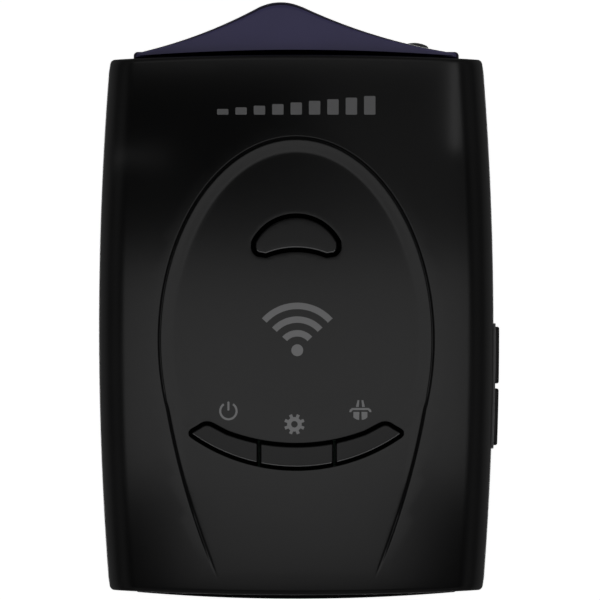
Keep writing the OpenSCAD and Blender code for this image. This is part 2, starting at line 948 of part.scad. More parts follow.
// ---- sockets ----
module power_jack() {
    color("#242528")
        translate([0, jack_y, jack_z])
            rotate([0, -90, 0])
                difference() {
                    union() {
                        translate([-3.3, -3.6, 24])
                            cube([6.6, 7.2, 9.8]);
                        cylinder(r = jack_nose_r, h = -jack_x);
                    }
                    translate([0, 0, -1])
                        cylinder(r = 4, h = 25);
                    translate([0, 0, -jack_x - jack_bore_len])
                        cylinder(r = jack_bore / 2, h = jack_bore_len + 1);
                }
}
module usb_port() {
    color("#b9bcbf")
        difference() {
            translate([-36.9, usb_y - 3.9, usb_z - 1.95])
                cube([9, 7.8, 3.9]);
            translate([-38, usb_y - 3.5, usb_z - 1.55])
                cube([8.6, 7, 3.1]);
        }
    color("#1b1b1d")
        translate([-35.6, usb_y - 2.6, usb_z - 0.3])
            cube([7, 5.2, 0.7]);
}

// ---- bracket release ----
module release_button() {
    wedge_y = release_x - wedge_line;
    color("#3c3e42")
        translate([release_x, 0, release_z])
            rotate([-90, 0, 0])
                difference() {
                    union() {
                        intersection() {
                            translate([0, 0, 48.4])
                                cylinder(r = release_r, h = 7.1);
                            translate([0, 0, 50.3])
                                sphere(r = 5.2);
                        }
                        translate([0, 0, 48.4])
                            cylinder(r = release_r + 0.5, h = 1.2);
                        translate([0, 0, 42])
                            cylinder(r = 1.6, h = 7);
                    }
                    rotate([90, 0, 0])
                        translate([0, 0, -5])
                            linear_extrude(10)
                                polygon([[-5, 30], [5, 30], [5, wedge_y + 5], [-5, wedge_y - 5]]);
                }
}
module bracket_latch() {
    color("#c7c3b8")
        difference() {
            union() {
                translate([8.7, latch_y0, latch_z0])
                    cube([latch_end_x - 8.7, latch_y1 - latch_y0, latch_z1 - latch_z0]);
                translate([21.6, latch_y1 - 0.1, latch_z0])
                    cube([latch_end_x - 21.6, 5.6, 3.8]);
            }
            translate([0, 0, 1])
                linear_extrude(8)
                    polygon([[19, 19 - wedge_line - 0.15], [30, 30 - wedge_line - 0.15], [19, 60]]);
        }
}
module latch_spring() {
    turns = 6;
    steps = 14;
    r = 1.1;
    wire = 0.22;
    len = spring_end_x - latch_end_x - 2 * wire;
    rings = [for (i = [0 : turns * steps]) let (
        a = 360 * i / steps,
        x = latch_end_x + wire + len * i / (turns * steps),
        c = [x, r * cos(a), r * sin(a)])
        [for (j = [0 : 5]) let (b = 60 * j)
            c + wire * [sin(b), cos(b) * cos(a), cos(b) * sin(a)]]];
    color("#c0c3c6")
        translate([0, (latch_y0 + latch_y1) / 2, (latch_z0 + latch_z1) / 2])
            loft(rings);
}

// ---- fasteners ----
module screw(head_r, head_h, shank_r, shank_h) {
    difference() {
        union() {
            translate([0, 0, -head_h])
                cylinder(r = head_r, h = head_h);
            cylinder(r = shank_r, h = shank_h);
        }
        for (a = [0, 90])
            rotate([0, 0, a])
                translate([-head_r * 0.6, -head_r * 0.13, -head_h - 1])
                    cube([head_r * 1.2, head_r * 0.26, 1 + head_h * 0.5]);
    }
}
module housing_screws() {
    color("#3f4145")
        for (p = housing_screw_at)
            translate([p.x, p.y, 3])
                screw(2.1, 1.5, 0.95, 16);
}
module board_screws() {
    color("#c0c3c6")
        for (p = board_screw_at)
            translate([p.x, p.y, board_z])
                screw(1.8, 1.1, 0.75, 6);
}
module horn_screws() {
    color("#c0c3c6")
        for (p = horn_screw_at)
            translate([p.x, p.y, 17.2])
                mirror([0, 0, 1])
                    screw(1.5, 0.6, 0.75, 4.5);
}

top_shell();
bottom_shell();
front_lens();
display_window();
power_button();
settings_button();
mode_button();
mute_button();
volume_up_button();
volume_down_button();
power_plunger();
settings_plunger();
mode_plunger();
mute_plunger();
volume_up_plunger();
volume_down_plunger();
top_switches();
side_switches();
main_board();
processor_chip();
shield_can();
memory_chips();
capacitors();
backup_capacitor();
inductor();
gps_patch_antenna();
gps_module();
microwave_horn();
microwave_board();
microwave_cover();
laser_board();
laser_diode();
laser_lens_holder();
laser_focus_lens();
display_panel();
display_board();
display_ribbon();
speaker_gasket();
speaker_frame();
speaker_cone();
speaker_magnet();
power_jack();
usb_port();
rating_label();
release_button();
bracket_latch();
latch_spring();
housing_screws();
board_screws();
horn_screws();
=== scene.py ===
import math

import bmesh
import bpy
from mathutils import Matrix, Vector
from mathutils.geometry import delaunay_2d_cdt


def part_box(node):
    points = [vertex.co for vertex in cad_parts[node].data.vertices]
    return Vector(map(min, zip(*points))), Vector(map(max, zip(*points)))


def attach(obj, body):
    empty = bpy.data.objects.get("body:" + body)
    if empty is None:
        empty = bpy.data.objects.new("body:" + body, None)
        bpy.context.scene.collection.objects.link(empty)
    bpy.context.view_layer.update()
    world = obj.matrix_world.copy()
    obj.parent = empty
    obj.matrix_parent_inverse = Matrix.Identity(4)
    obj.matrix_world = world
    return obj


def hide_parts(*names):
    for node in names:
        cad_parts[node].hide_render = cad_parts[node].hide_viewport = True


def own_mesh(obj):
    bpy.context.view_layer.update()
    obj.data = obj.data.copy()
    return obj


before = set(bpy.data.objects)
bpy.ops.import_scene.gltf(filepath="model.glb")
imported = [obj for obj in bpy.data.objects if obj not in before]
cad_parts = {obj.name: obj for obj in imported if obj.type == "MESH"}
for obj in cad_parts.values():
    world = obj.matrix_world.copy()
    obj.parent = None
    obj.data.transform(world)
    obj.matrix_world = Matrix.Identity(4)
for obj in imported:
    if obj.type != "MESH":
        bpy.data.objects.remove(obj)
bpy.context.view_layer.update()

MM = 0.001


# ---- sizes, in millimetres
def node_box(node):
    """Lowest and highest corners of a CAD node, in millimetres."""
    low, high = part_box(node)
    return low / MM, high / MM


top_low, top_high = node_box("top_shell")
lens_low, lens_high = node_box("front_lens")
window_low, _ = node_box("display_window")

# The body: half width, height at the crown, ends, seam, wall, and the radii of its sides and crown
BODY_HALF = top_high.x
BODY_H = 31.0
BODY_FRONT = top_high.y
BODY_BACK = -top_low.y
SEAM_Z = top_low.z
WALL = 1.8
SIDE_R = 641.0
CROWN_RX, CROWN_RY = 500.0, 1300.0
ROLL_W, ROLL_H = 5.2, 6.0
BASE_ROUND = 5.0
END_ROUND = 1.0
END_FALL, END_FALL_AT = 0.9, 35.0
SEAM_CHAMFER = 0.16
SIDE_PROUD = 1.1
DISPLAY_FALL = 1.9

# The spoon-shaped dish: its ellipse, its depths, the tongue towards the driver, and the bowl
DISH_A, DISH_B, DISH_Y = 26.6, 39.2, -2.3
DISH_STEP, DISH_DROP, DISH_BAND = 0.4, 1.3, 2.8
TONGUE_Y0, TONGUE_Y1 = -15.0, -49.0
TONGUE_X0, TONGUE_X1, TONGUE_BOW = 25.1, 15.1, 1.05
FADE_Y0, FADE_Y1 = -18.0, -47.5
STRIP_W, STRIP_FALL, STRIP_Y = 2.4, 0.2, (-10.0, -18.0, -38.0)
GROOVE_END, GROOVE_FADE = -48.6, 9.0
BOWL_CORNER = 3.0
BOWL_DEPTH, BOWL_Y, BOWL_RX, BOWL_RY = 1.3, 6.8, 23.0, 29.0
DISH_FLOOR_Z = 26.0

# The key row: its lower edge is one arc; its upper edge is an arc, a slope, a round shoulder and a slope
ROW_FLOOR_Z = 27.7
ROW_TIP = 20.45
ROW_LOW_Y, ROW_LOW_R = 8.1, 35.0
ROW_HIGH_Y, ROW_HIGH_R, ROW_HIGH_END = 15.3, 38.2, 13.6
SHOULDER_X, SHOULDER_Y, SHOULDER_R = 17.25, -20.5, 1.8
SHOULDER_IN, SHOULDER_OUT = 16.4, 18.48
ROW_SPLIT = (-7.2, 7.4)
ROW_KEY_GAP = 0.5
ROW_GAP, MUTE_GAP = 0.6, 0.5
LIP = 0.2

# The crescent key: middle and radius of its lobe, its round back and its hollow front edge
LOBE_X, LOBE_Y, LOBE_R = 6.6, 15.75, 1.62
BACK_Y, BACK_R = 12.4, 9.2
HOLLOW_Y, HOLLOW_R = -0.4, 15.6
MUTE_STEM_Y = 17.6
MUTE_TILT, MUTE_CROWN = 0.07, 0.004


def side_half(y):
    """Half width of the body at y."""
    return BODY_HALF - SIDE_R + math.sqrt(SIDE_R ** 2 - y ** 2)


def crown(x, y):
    """Height of the plain top face."""
    return BODY_H - x * x / (2 * CROWN_RX) - y * y / (2 * CROWN_RY)


def end_shift(x):
    """How far the end walls fall back at x."""
    return END_FALL * (x / END_FALL_AT) ** 2


def smooth(t):
    """0 to 1 with soft ends."""
    t = min(1.0, max(0.0, t))
    return t * t * (3 - 2 * t)


def dish_fade(y):
    """Share of the dish's depth at y: the tongue runs out towards the driver."""
    return min(1.0, max(0.0, (y - FADE_Y1) / (FADE_Y0 - FADE_Y1)))


def bowl(x, y):
    """Extra depth of the bowl."""
    return BOWL_DEPTH * max(0.0, 1 - (x / BOWL_RX) ** 2 - ((y - BOWL_Y) / BOWL_RY) ** 2)


def strip(y):
    """Width of the sloping strip beside the tongue."""
    start, peak, end = STRIP_Y
    if y > start or y < end:
        return 0.0
    if y > peak:
        return STRIP_W * smooth((y - start) / (peak - start))
    return STRIP_W * ((y - end) / (peak - end)) ** 1.4


def smooth_min(u, v, m):
    """The smaller of u and v, rounded where they are within m of each other."""
    h = max(m - abs(u - v), 0.0) / m
    return min(u, v) - h * h * m / 4


def ramp_share(t, soft=0.1):
    """A straight ramp from 0 to 1 with both ends rounded over the share soft."""
    if t <= -soft:
        return 0.0
    if t < soft:
        return (t + soft) ** 2 / (4 * soft)
    if t < 1 - soft:
        return t
    if t < 1 + soft:
        return 1 - (1 + soft - t) ** 2 / (4 * soft)
    return 1.0


def bowl_inside(x, y):
    """Distance inside the bowl's outline: an ellipse cut off along the key row's lower edge."""
    f = math.hypot(x / DISH_A, (y - DISH_Y) / DISH_B)
    slope = math.hypot(x / DISH_A ** 2, (y - DISH_Y) / DISH_B ** 2) / max(f, 1e-6)
    in_ellipse = (1 - f) / max(slope, 1e-6)
    return smooth_min(in_ellipse, ROW_LOW_R - math.hypot(x, y - ROW_LOW_Y), BOWL_CORNER)


def crease_x(y):
    """Half width of the crease outline at y."""
    if y >= TONGUE_Y0:
        return DISH_A * math.sqrt(max(0.0, 1 - ((y - DISH_Y) / DISH_B) ** 2))
    t = (y - TONGUE_Y1) / (TONGUE_Y0 - TONGUE_Y1)
    return TONGUE_X1 + (TONGUE_X0 - TONGUE_X1) * t + 4 * TONGUE_BOW * t * (1 - t)


def tongue_z(x, y):
    """Height of the shallow tongue, with the strip that slopes down from its crease."""
    fall = STRIP_FALL * max(0.0, min(crease_x(y) - abs(x), strip(y)))
    return crown(x, y) - DISH_STEP * dish_fade(y) - fall


def dish_z(x, y):
    """Height of the dish's floor."""
    share = ramp_share(bowl_inside(x, y) / DISH_BAND)
    floor = crown(x, y) - DISH_STEP - DISH_DROP - bowl(x, y)
    return tongue_z(x, y) * (1 - share) + floor * share


def cap_height(x, y, d, up):
    """Height of the roof (up 1) or the base (up -1) of the body inset by d."""
    rw = (ROLL_W if up > 0 else BASE_ROUND) - d
    rh = (ROLL_H if up > 0 else BASE_ROUND) - d
    q = min(1.0, max(0.0, (abs(x) - side_half(y) + d + rw) / rw))
    drop = rh * (1 - math.sqrt(1 - q * q))
    return crown(x, y) - d - drop if up > 0 else d + drop


def plan_quarter(d, t, up, way, n_side=34, n_corner=8, n_end=26):
    """Quarter outline of the body as (x, y, share of end); t is the angle reached round the edge."""
    rw = (ROLL_W if up > 0 else BASE_ROUND) - d
    er = max(END_ROUND - d, 0.3)
    reach = (BODY_FRONT if way > 0 else BODY_BACK) - d - er * (1 - math.cos(t))
    inset = d + rw * (1 - math.cos(t))
    cx = side_half(reach) - inset - END_ROUND
    cy = reach - end_shift(cx) - END_ROUND
    out = []
    for i in range(n_side):
        y = cy * i / n_side
        out.append((side_half(y) - inset, way * y, 0.0))
    for i in range(n_corner + 1):
        a = math.pi / 2 * i / n_corner
        out.append((cx + END_ROUND * math.cos(a), way * (cy + END_ROUND * math.sin(a)), math.sin(a)))
    for i in range(n_end - 1, -1, -1):
        x = cx * i / n_end
        out.append((x, way * (reach - end_shift(x)), 1.0))
    return out


def plan_loop(d, t, up):
    """Closed outline of the body, counter-clockwise from the middle of the right side."""
    f = plan_quarter(d, t, up, 1)
    r = plan_quarter(d, t, up, -1)
    return (f + [(-p[0], p[1], p[2]) for p in f[-2::-1]]
            + [(-p[0], p[1], p[2]) for p in r[1:]] + r[-2:0:-1])


def edge_ring(d, t, up):
    """Ring of the rolled edge at angle t."""
    er = max(END_ROUND - d, 0.3)
    return [(x, y, cap_height(x, y, d, up) - up * er * (1 - math.sin(t)) * share)
            for x, y, share in plan_loop(d, t, up)]


def level_ring(d, z, up):
    """Ring of the straight wall at level z."""
    return [(x, y, z) for x, y, _ in plan_loop(d, 0.0, up)]


# ---- curves in the plan
def arc(cx, cy, r, a0, a1, n):
    """Points of an arc, angles in degrees."""
    return [(cx + r * math.cos(math.radians(a0 + (a1 - a0) * i / n)),
             cy + r * math.sin(math.radians(a0 + (a1 - a0) * i / n))) for i in range(n + 1)]


def round_outline(cx, cy, r, n=32):
    """A full circle of n points, counter-clockwise."""
    return arc(cx, cy, r, 0, 360, n)[:-1]


def bow(p, q, s, n):
    """A curve from p to q that bows to its left by s."""
    length = math.dist(p, q)
    nx, ny = (p[1] - q[1]) / length, (q[0] - p[0]) / length
    return [(p[0] + (q[0] - p[0]) * t + 4 * s * t * (1 - t) * nx,
             p[1] + (q[1] - p[1]) * t + 4 * s * t * (1 - t) * ny)
            for t in (i / n for i in range(n + 1))]


def corner(a, c, b, n=5):
    """A rounded corner from a to b round the sharp point c."""
    return [((1 - t) ** 2 * a[0] + 2 * t * (1 - t) * c[0] + t * t * b[0],
             (1 - t) ** 2 * a[1] + 2 * t * (1 - t) * c[1] + t * t * b[1])
            for t in (i / n for i in range(n + 1))]


def resample(points, n):
    """n points spaced evenly along a closed outline."""
    loop = points + [points[0]]
    lengths = [0.0]
    for a, b in zip(loop, loop[1:]):
        lengths.append(lengths[-1] + math.dist(a, b))
    out, k = [], 0
    for i in range(n):
        s = lengths[-1] * i / n
        while lengths[k + 1] < s:
            k += 1
        t = (s - lengths[k]) / max(lengths[k + 1] - lengths[k], 1e-9)
        out.append((loop[k][0] + (loop[k + 1][0] - loop[k][0]) * t,
                    loop[k][1] + (loop[k + 1][1] - loop[k][1]) * t))
    return out


def grow(points, d):
    """A counter-clockwise outline moved outwards by d."""
    out = []
    n = len(points)
    for i, p in enumerate(points):
        a, b = points[i - 1], points[(i + 1) % n]
        tx, ty = b[0] - a[0], b[1] - a[1]
        length = math.hypot(tx, ty) or 1.0
        out.append((p[0] + d * ty / length, p[1] - d * tx / length))
    return out


# ---- meshes
class Mesh:
    """Vertices and faces collected in millimetres."""

    def __init__(self):
        self.verts = []
        self.faces = []
        self.marks = {}

    def ring(self, points):
        """Adds a ring of points and returns their numbers."""
        start = len(self.verts)
        self.verts.extend(points)
        return list(range(start, len(self.verts)))

    def bridge(self, a, b):
        """Quads from ring a to ring b; they face outwards when b is above a, both counter-clockwise."""
        n = len(a)
        for i in range(n):
            j = (i + 1) % n
            self.faces.append((a[i], a[j], b[j], b[i]))

    def rings(self, rings):
        """Bridges a list of point rings and returns their index rings."""
        made = [self.ring(r) for r in rings]
        for a, b in zip(made, made[1:]):
            self.bridge(a, b)
        return made

    def patch(self, outer, holes, height, spacing, up=True, extra=()):
        """Fills between an outer index loop and hole loops with even triangles at the given height."""
        loops = [outer] + holes
        ids = [i for loop in loops for i in loop]
        flat = [Vector(self.verts[i][:2]) for i in ids]
        edges, start = [], 0
        outlines = []
        for loop in loops:
            n = len(loop)
            edges += [(start + k, start + (k + 1) % n) for k in range(n)]
            outlines.append([tuple(self.verts[i][:2]) for i in loop])
            start += n
        xs = [p.x for p in flat]
        ys = [p.y for p in flat]
        grid = []
        row_step = spacing * math.sqrt(3) / 2
        rows = int((max(ys) - min(ys)) / row_step) + 1
        cols = int((max(xs) - min(xs)) / spacing) + 1
        near = Buckets(flat, spacing)
        for x, y in extra:
            if near.clear(x, y, spacing * 0.3) and in_region(x, y, outlines):
                grid.append(Vector((x, y)))
        near = Buckets(flat + grid, spacing)
        for r in range(1, rows + 1):
            y = min(ys) + r * row_step
            for c in range(cols + 1):
                x = min(xs) + (c + 0.5 * (r % 2)) * spacing
                if near.clear(x, y, spacing * 0.62) and in_region(x, y, outlines):
                    grid.append(Vector((x, y)))
        result = delaunay_2d_cdt(flat + grid, edges, [], 0, 1e-6, True)
        points, triangles, sources = result[0], result[2], result[3]
        index = []
        for p, src in zip(points, sources):
            if src and src[0] < len(ids):
                index.append(ids[src[0]])
            else:
                index.append(len(self.verts))
                self.verts.append((p.x, p.y, height(p.x, p.y)))
        for tri in triangles:
            cx = sum(points[k].x for k in tri) / 3
            cy = sum(points[k].y for k in tri) / 3
            if in_region(cx, cy, outlines):
                face = [index[k] for k in tri]
                self.faces.append(tuple(face if up else face[::-1]))

    def add(self, other, mark=0):
        """Adds another mesh; mark is the number of the material it takes."""
        shift, first = len(self.verts), len(self.faces)
        self.verts.extend(other.verts)
        self.faces.extend(tuple(i + shift for i in f) for f in other.faces)
        for k in range(len(other.faces)):
            self.marks[first + k] = other.marks.get(k, mark)

    def build(self, name, materials, sharp=38.0):
        """Makes the object; materials is one material or a list that the marks count in."""
        mesh = bpy.data.meshes.new(name)
        mesh.from_pydata([(x * MM, y * MM, z * MM) for x, y, z in self.verts], [], self.faces)
        for material in materials if isinstance(materials, list) else [materials]:
            mesh.materials.append(material)
        for k, mark in self.marks.items():
            mesh.polygons[k].material_index = mark
        mark_edges(mesh, sharp)
        return add_object(name, mesh)


class Buckets:
    """Finds out fast whether a point is clear of a set of points."""

    def __init__(self, points, size):
        self.size = size
        self.cells = {}
        for p in points:
            self.cells.setdefault((int(p.x // size), int(p.y // size)), []).append((p.x, p.y))

    def clear(self, x, y, limit):
        """Whether no point lies within limit of (x, y)."""
        cx, cy = int(x // self.size), int(y // self.size)
        for i in (cx - 1, cx, cx + 1):
            for j in (cy - 1, cy, cy + 1):
                for p in self.cells.get((i, j), ()):
                    if math.hypot(x - p[0], y - p[1]) < limit:
                        return False
        return True


def inside(x, y, loop):
    """Whether (x, y) is inside a closed outline."""
    hit = False
    x1, y1 = loop[-1]
    for x2, y2 in loop:
        if (y1 > y) != (y2 > y) and x < (x2 - x1) * (y - y1) / (y2 - y1) + x1:
            hit = not hit
        x1, y1 = x2, y2
    return hit


def in_region(x, y, outlines):
    """Inside the first outline and outside the others."""
    return inside(x, y, outlines[0]) and not any(inside(x, y, hole) for hole in outlines[1:])


def mark_edges(mesh, sharp):
    """Smooth shading with hard edges where faces meet at more than the given angle."""
    bm = bmesh.new()
    bm.from_mesh(mesh)
    bmesh.ops.remove_doubles(bm, verts=bm.verts, dist=1e-7)
    bmesh.ops.recalc_face_normals(bm, faces=bm.faces)
    limit = math.radians(sharp)
    for f in bm.faces:
        f.smooth = True
    for e in bm.edges:
        e.smooth = len(e.link_faces) == 2 and e.calc_face_angle(0.0) < limit
    bm.to_mesh(mesh)
    bm.free()


def add_object(name, data):
    """Puts data into the scene as an object."""
    obj = bpy.data.objects.new(name, data)
    bpy.context.scene.collection.objects.link(obj)
    return obj


def install(piece, node=None, body="housing"):
    """Gives a piece its body, and puts it in place of a CAD node."""
    if node:
        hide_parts(node)
    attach(piece, body)


def cut(obj, tools, operation="DIFFERENCE", sharp=38.0):
    """Applies boolean tools to obj and removes them."""
    for tool in tools:
        mod = obj.modifiers.new("cut", "BOOLEAN")
        mod.operation = operation
        mod.solver = "EXACT"
        mod.object = tool
        bpy.context.view_layer.update()
        depsgraph = bpy.context.evaluated_depsgraph_get()
        mesh = bpy.data.meshes.new_from_object(obj.evaluated_get(depsgraph))
        obj.modifiers.clear()
        old = obj.data
        obj.data = mesh
        mesh.name = obj.name
        bpy.data.meshes.remove(old)
    for tool in tools:
        bpy.data.objects.remove(tool)
    mark_edges(obj.data, sharp)


def lofted(rings):
    """A closed skin over rings of points."""
    m = Mesh()
    made = m.rings(rings)
    m.faces.append(tuple(made[0][::-1]))
    m.faces.append(tuple(made[-1]))
    return m


def level(outline, z):
    """An outline as a ring at one level."""
    return [(x, y, z) for x, y in outline]


def over(outline, height, rise):
    """An outline as a ring that follows a surface, raised by rise."""
    return [(x, y, height(x, y) + rise) for x, y in outline]


def plate(outline, z0, z1):
    return lofted([level(outline, z0), level(outline, z1)])


def placed(mesh, matrix):
    """The same mesh moved by a matrix."""
    mesh.verts = [tuple(matrix @ Vector(v)) for v in mesh.verts]
    return mesh


def box_outline(x0, x1, y0, y1, r, n=5):
    """A rectangle with rounded corners, counter-clockwise."""
    pts = []
    middles = [(x1 - r, y1 - r), (x0 + r, y1 - r), (x0 + r, y0 + r), (x1 - r, y0 + r)]
    for k, (cx, cy) in enumerate(middles):
        pts += arc(cx, cy, r, 90 * k, 90 * k + 90, n)
    return pts


def skin_cutter(outline, face, depth, flare):
    """A cutter that follows a curved wall: face gives the wall's height over the outline's plane."""
    steps = ((-depth, 0.0), (-flare, 0.0), (0.0, flare), (0.6, flare + 0.6))
    return lofted([over(grow(outline, more), face, rise) for rise, more in steps])


# Directions in which a cutter can enter: its local +Z points out of the surface
FROM_LEFT = Matrix(((0, 0, -1), (1, 0, 0), (0, -1, 0))).to_4x4()
FROM_RIGHT = Matrix(((0, 0, 1), (1, 0, 0), (0, 1, 0))).to_4x4()
FROM_FRONT = Matrix(((-1, 0, 0), (0, 0, 1), (0, 1, 0))).to_4x4()
FROM_REAR = Matrix(((1, 0, 0), (0, 0, -1), (0, 1, 0))).to_4x4()
FROM_BELOW = Matrix(((1, 0, 0), (0, -1, 0), (0, 0, -1))).to_4x4()


# ---- materials
def shader(name, **values):
    """A node material; values are set on the shader's own sockets."""
    mat = bpy.data.materials.new(name)
    mat.use_nodes = True
    bsdf = mat.node_tree.nodes["Principled BSDF"]
    for key, value in values.items():
        bsdf.inputs[key.replace("_", " ")].default_value = value
    return mat, mat.node_tree, bsdf


def wire(tree, a, a_out, b, b_in):
    tree.links.new(a.outputs[a_out], b.inputs[b_in])


def noise(tree, scale, detail, rough=0.5):
    """Noise in object space, scale in cells per metre."""
    coords = tree.nodes.new("ShaderNodeTexCoord")
    tex = tree.nodes.new("ShaderNodeTexNoise")
    tex.inputs["Scale"].default_value = scale
    tex.inputs["Detail"].default_value = detail
    tex.inputs["Roughness"].default_value = rough
    wire(tree, coords, "Object", tex, "Vector")
    return tex


def ramp(tree, source, stops, out="Fac"):
    """A colour ramp over a noise factor."""
    node = tree.nodes.new("ShaderNodeValToRGB")
    elements = node.color_ramp.elements
    elements[0].position, elements[0].color = stops[0]
    elements[1].position, elements[1].color = stops[-1]
    for position, colour in stops[1:-1]:
        elements.new(position).color = colour
    wire(tree, source, out, node, "Fac")
    return node


def grey(v):
    return (v, v, v, 1.0)


def add_bump(tree, bsdf, source, strength, distance, out="Fac"):
    """Bump from a texture; distance in metres."""
    bump = tree.nodes.new("ShaderNodeBump")
    bump.inputs["Strength"].default_value = strength
    bump.inputs["Distance"].default_value = distance
    wire(tree, source, out, bump, "Height")
    wire(tree, bump, "Normal", bsdf, "Normal")


def cloud(tree, bsdf, colour, scale, shares, half):
    """Colour that drifts between two shares of itself; half is half the width of the drift."""
    low, high = [tuple(c * share for c in colour) + (1.0,) for share in shares]
    tint = ramp(tree, noise(tree, scale, 3.0), [(0.5 - half, low), (0.5 + half, high)])
    wire(tree, tint, "Color", bsdf, "Base Color")


def cloud_gloss(tree, bsdf, fine, rough, spread, half):
    """Roughness that changes by spread over the grain."""
    stops = [(0.5 - half, grey(rough - spread / 2)), (0.5 + half, grey(rough + spread / 2))]
    wire(tree, ramp(tree, fine, stops), "Color", bsdf, "Roughness")


def moulded(name, colour, rough, spread=0.12, grain=6000, bump=0.12, depth=0.00002, spec=0.5, vary=0.25):
    """Moulded plastic: fine spark-eroded grain, soft clouding of colour and gloss."""
    mat, tree, bsdf = shader(name, Specular_IOR_Level=spec)
    cloud(tree, bsdf, colour, 60, (1 - vary, 1 + vary), 0.2)
    fine = noise(tree, grain, 3.0, 0.6)
    cloud_gloss(tree, bsdf, fine, rough, spread, 0.25)
    add_bump(tree, bsdf, fine, bump, depth)
    return mat


def metal(name, colour, rough, grain=3000, bump=0.1, spread=0.15):
    """Metal with fine drawn or cast grain."""
    mat, tree, bsdf = shader(name, Metallic=1.0)
    cloud(tree, bsdf, colour, 150, (0.82, 1.1), 0.15)
    fine = noise(tree, grain, 4.0, 0.6)
    cloud_gloss(tree, bsdf, fine, rough, spread, 0.2)
    add_bump(tree, bsdf, fine, bump, 0.00003)
    return mat


def board(name):
    """Green circuit board with faint traces under the solder mask."""
    mat, tree, bsdf = shader(name, Roughness=0.35)
    coords = tree.nodes.new("ShaderNodeTexCoord")
    cells = tree.nodes.new("ShaderNodeTexVoronoi")
    cells.feature = "DISTANCE_TO_EDGE"
    cells.distance = "MANHATTAN"
    cells.inputs["Scale"].default_value = 420
    wire(tree, coords, "Object", cells, "Vector")
    tint = ramp(tree, cells, [(0.0, (0.03, 0.19, 0.09, 1)), (0.12, (0.012, 0.09, 0.04, 1))], "Distance")
    wire(tree, tint, "Color", bsdf, "Base Color")
    add_bump(tree, bsdf, cells, 0.3, 0.00003, "Distance")
    return mat


# After the colour: roughness, its spread, grain per metre, bump, depth of the bump in metres, specular
# level, and how much the colour clouds
SHELL = moulded("shell_plastic", (0.0042, 0.0042, 0.0045), 0.33, 0.08, 7000, 0.14)
BASE = moulded("base_plastic", (0.010, 0.010, 0.0108), 0.52, 0.12, 4500, 0.3, 0.00004, 0.4)
KEY = moulded("key_plastic", (0.005, 0.005, 0.0054), 0.36, 0.1, 8000, spec=0.38)
SIDE_KEY = moulded("side_key_plastic", (0.009, 0.009, 0.0096), 0.45, 0.1, 8000, spec=0.45)
RELEASE = moulded("release_plastic", (0.02, 0.0205, 0.022), 0.4, 0.1, 8000, 0.1, spec=0.45)
LENS = moulded("lens_resin", (0.10, 0.090, 0.215), 0.2, 0.06, 2500, 0.03, 0.00001, 0.45, 0.06)
WINDOW = moulded("window_resin", (0.006, 0.0065, 0.008), 0.09, 0.04, 1500, 0.02, 0.00001, 0.5, 0.1)
PRINT = moulded("printed_mark", (0.28, 0.28, 0.285), 0.5, 0.08, 9000, 0.05, 0.00001, 0.3, 0.05)
LABEL = moulded("label_foil", (0.30, 0.305, 0.31), 0.38, 0.1, 5000, 0.05, 0.00001, 0.5, 0.05)
# Light grey for the near edges of the keys: a painted highlight.
PAINTED_EDGE_HIGHLIGHT = moulded("key_edge_painted_highlight", (0.2, 0.2, 0.203), 0.3, 0.06, 9000, 0.05, 0.00001, 0.5, 0.05)
# Near black with no sheen for the flanges and stems down in the key gaps: painted shade.
PAINTED_GAP_SHADE = moulded("key_flange_painted_shade", (0.0015, 0.0015, 0.0015), 0.9, 0.05, 4000, 0.2, spec=0.0)
# Darker copy of the lens resin for the lens's sides: painted shade.
LENS_PAINTED_SIDE_SHADE = moulded("lens_side_painted_shade", (0.020, 0.017, 0.042), 0.14, 0.05, 2500, 0.03, 0.00001, 0.5, 0.06)
# Light grey for the real lip round the side keys: a painted highlight.
PAINTED_FRAME_HIGHLIGHT = moulded("frame_painted_highlight", (0.2, 0.2, 0.205), 0.5, 0.08, 9000, 0.05, 0.00001, 0.4, 0.05)
IVORY = moulded("plunger_plastic", (0.60, 0.57, 0.48), 0.45)
ACETAL = moulded("latch_acetal", (0.58, 0.55, 0.48), 0.4)
BLACK_PART = moulded("socket_plastic", (0.014, 0.014, 0.0145), 0.45)
EPOXY = moulded("chip_epoxy", (0.012, 0.012, 0.012), 0.5, 0.1, 9000, 0.3, 0.00003)
BOARD = board("board_laminate")
LAMINATE = moulded("microwave_laminate", (0.5, 0.36, 0.14), 0.35)
TIN = metal("tinned_sheet", (0.62, 0.63, 0.64), 0.3)
ZINC = metal("cast_zinc", (0.5, 0.51, 0.52), 0.5, 2500, 0.3)
ZINC_SCREW = metal("screw_zinc", (0.62, 0.63, 0.65), 0.28)
BLACK_SCREW = metal("screw_black_oxide", (0.06, 0.06, 0.065), 0.38)
SPRING = metal("spring_steel", (0.66, 0.67, 0.68), 0.22)
MAGNET = metal("magnet_plate", (0.3, 0.31, 0.32), 0.35)
CAN = moulded("capacitor_sleeve", (0.06, 0.09, 0.16), 0.3)
FERRITE = moulded("ferrite", (0.04, 0.04, 0.043), 0.6)
CERAMIC = moulded("ceramic", (0.5, 0.42, 0.3), 0.4)
DIODE = moulded("diode_resin", (0.12, 0.012, 0.02), 0.15)
RIBBON = moulded("ribbon_film", (0.45, 0.22, 0.03), 0.25)
FOAM = moulded("gasket_foam", (0.03, 0.03, 0.03), 0.9, 0.05, 3000, 0.8, 0.0001)
PAPER = moulded("cone_paper", (0.02, 0.019, 0.018), 0.85, 0.1, 2500, 0.6, 0.0001)
PANEL = moulded("panel_glass", (0.012, 0.014, 0.018), 0.1)
OPTIC, _, _ = shader("clear_optic", Base_Color=(0.85, 0.9, 0.92, 1), Roughness=0.04,
                     Transmission_Weight=0.9, IOR=1.5)


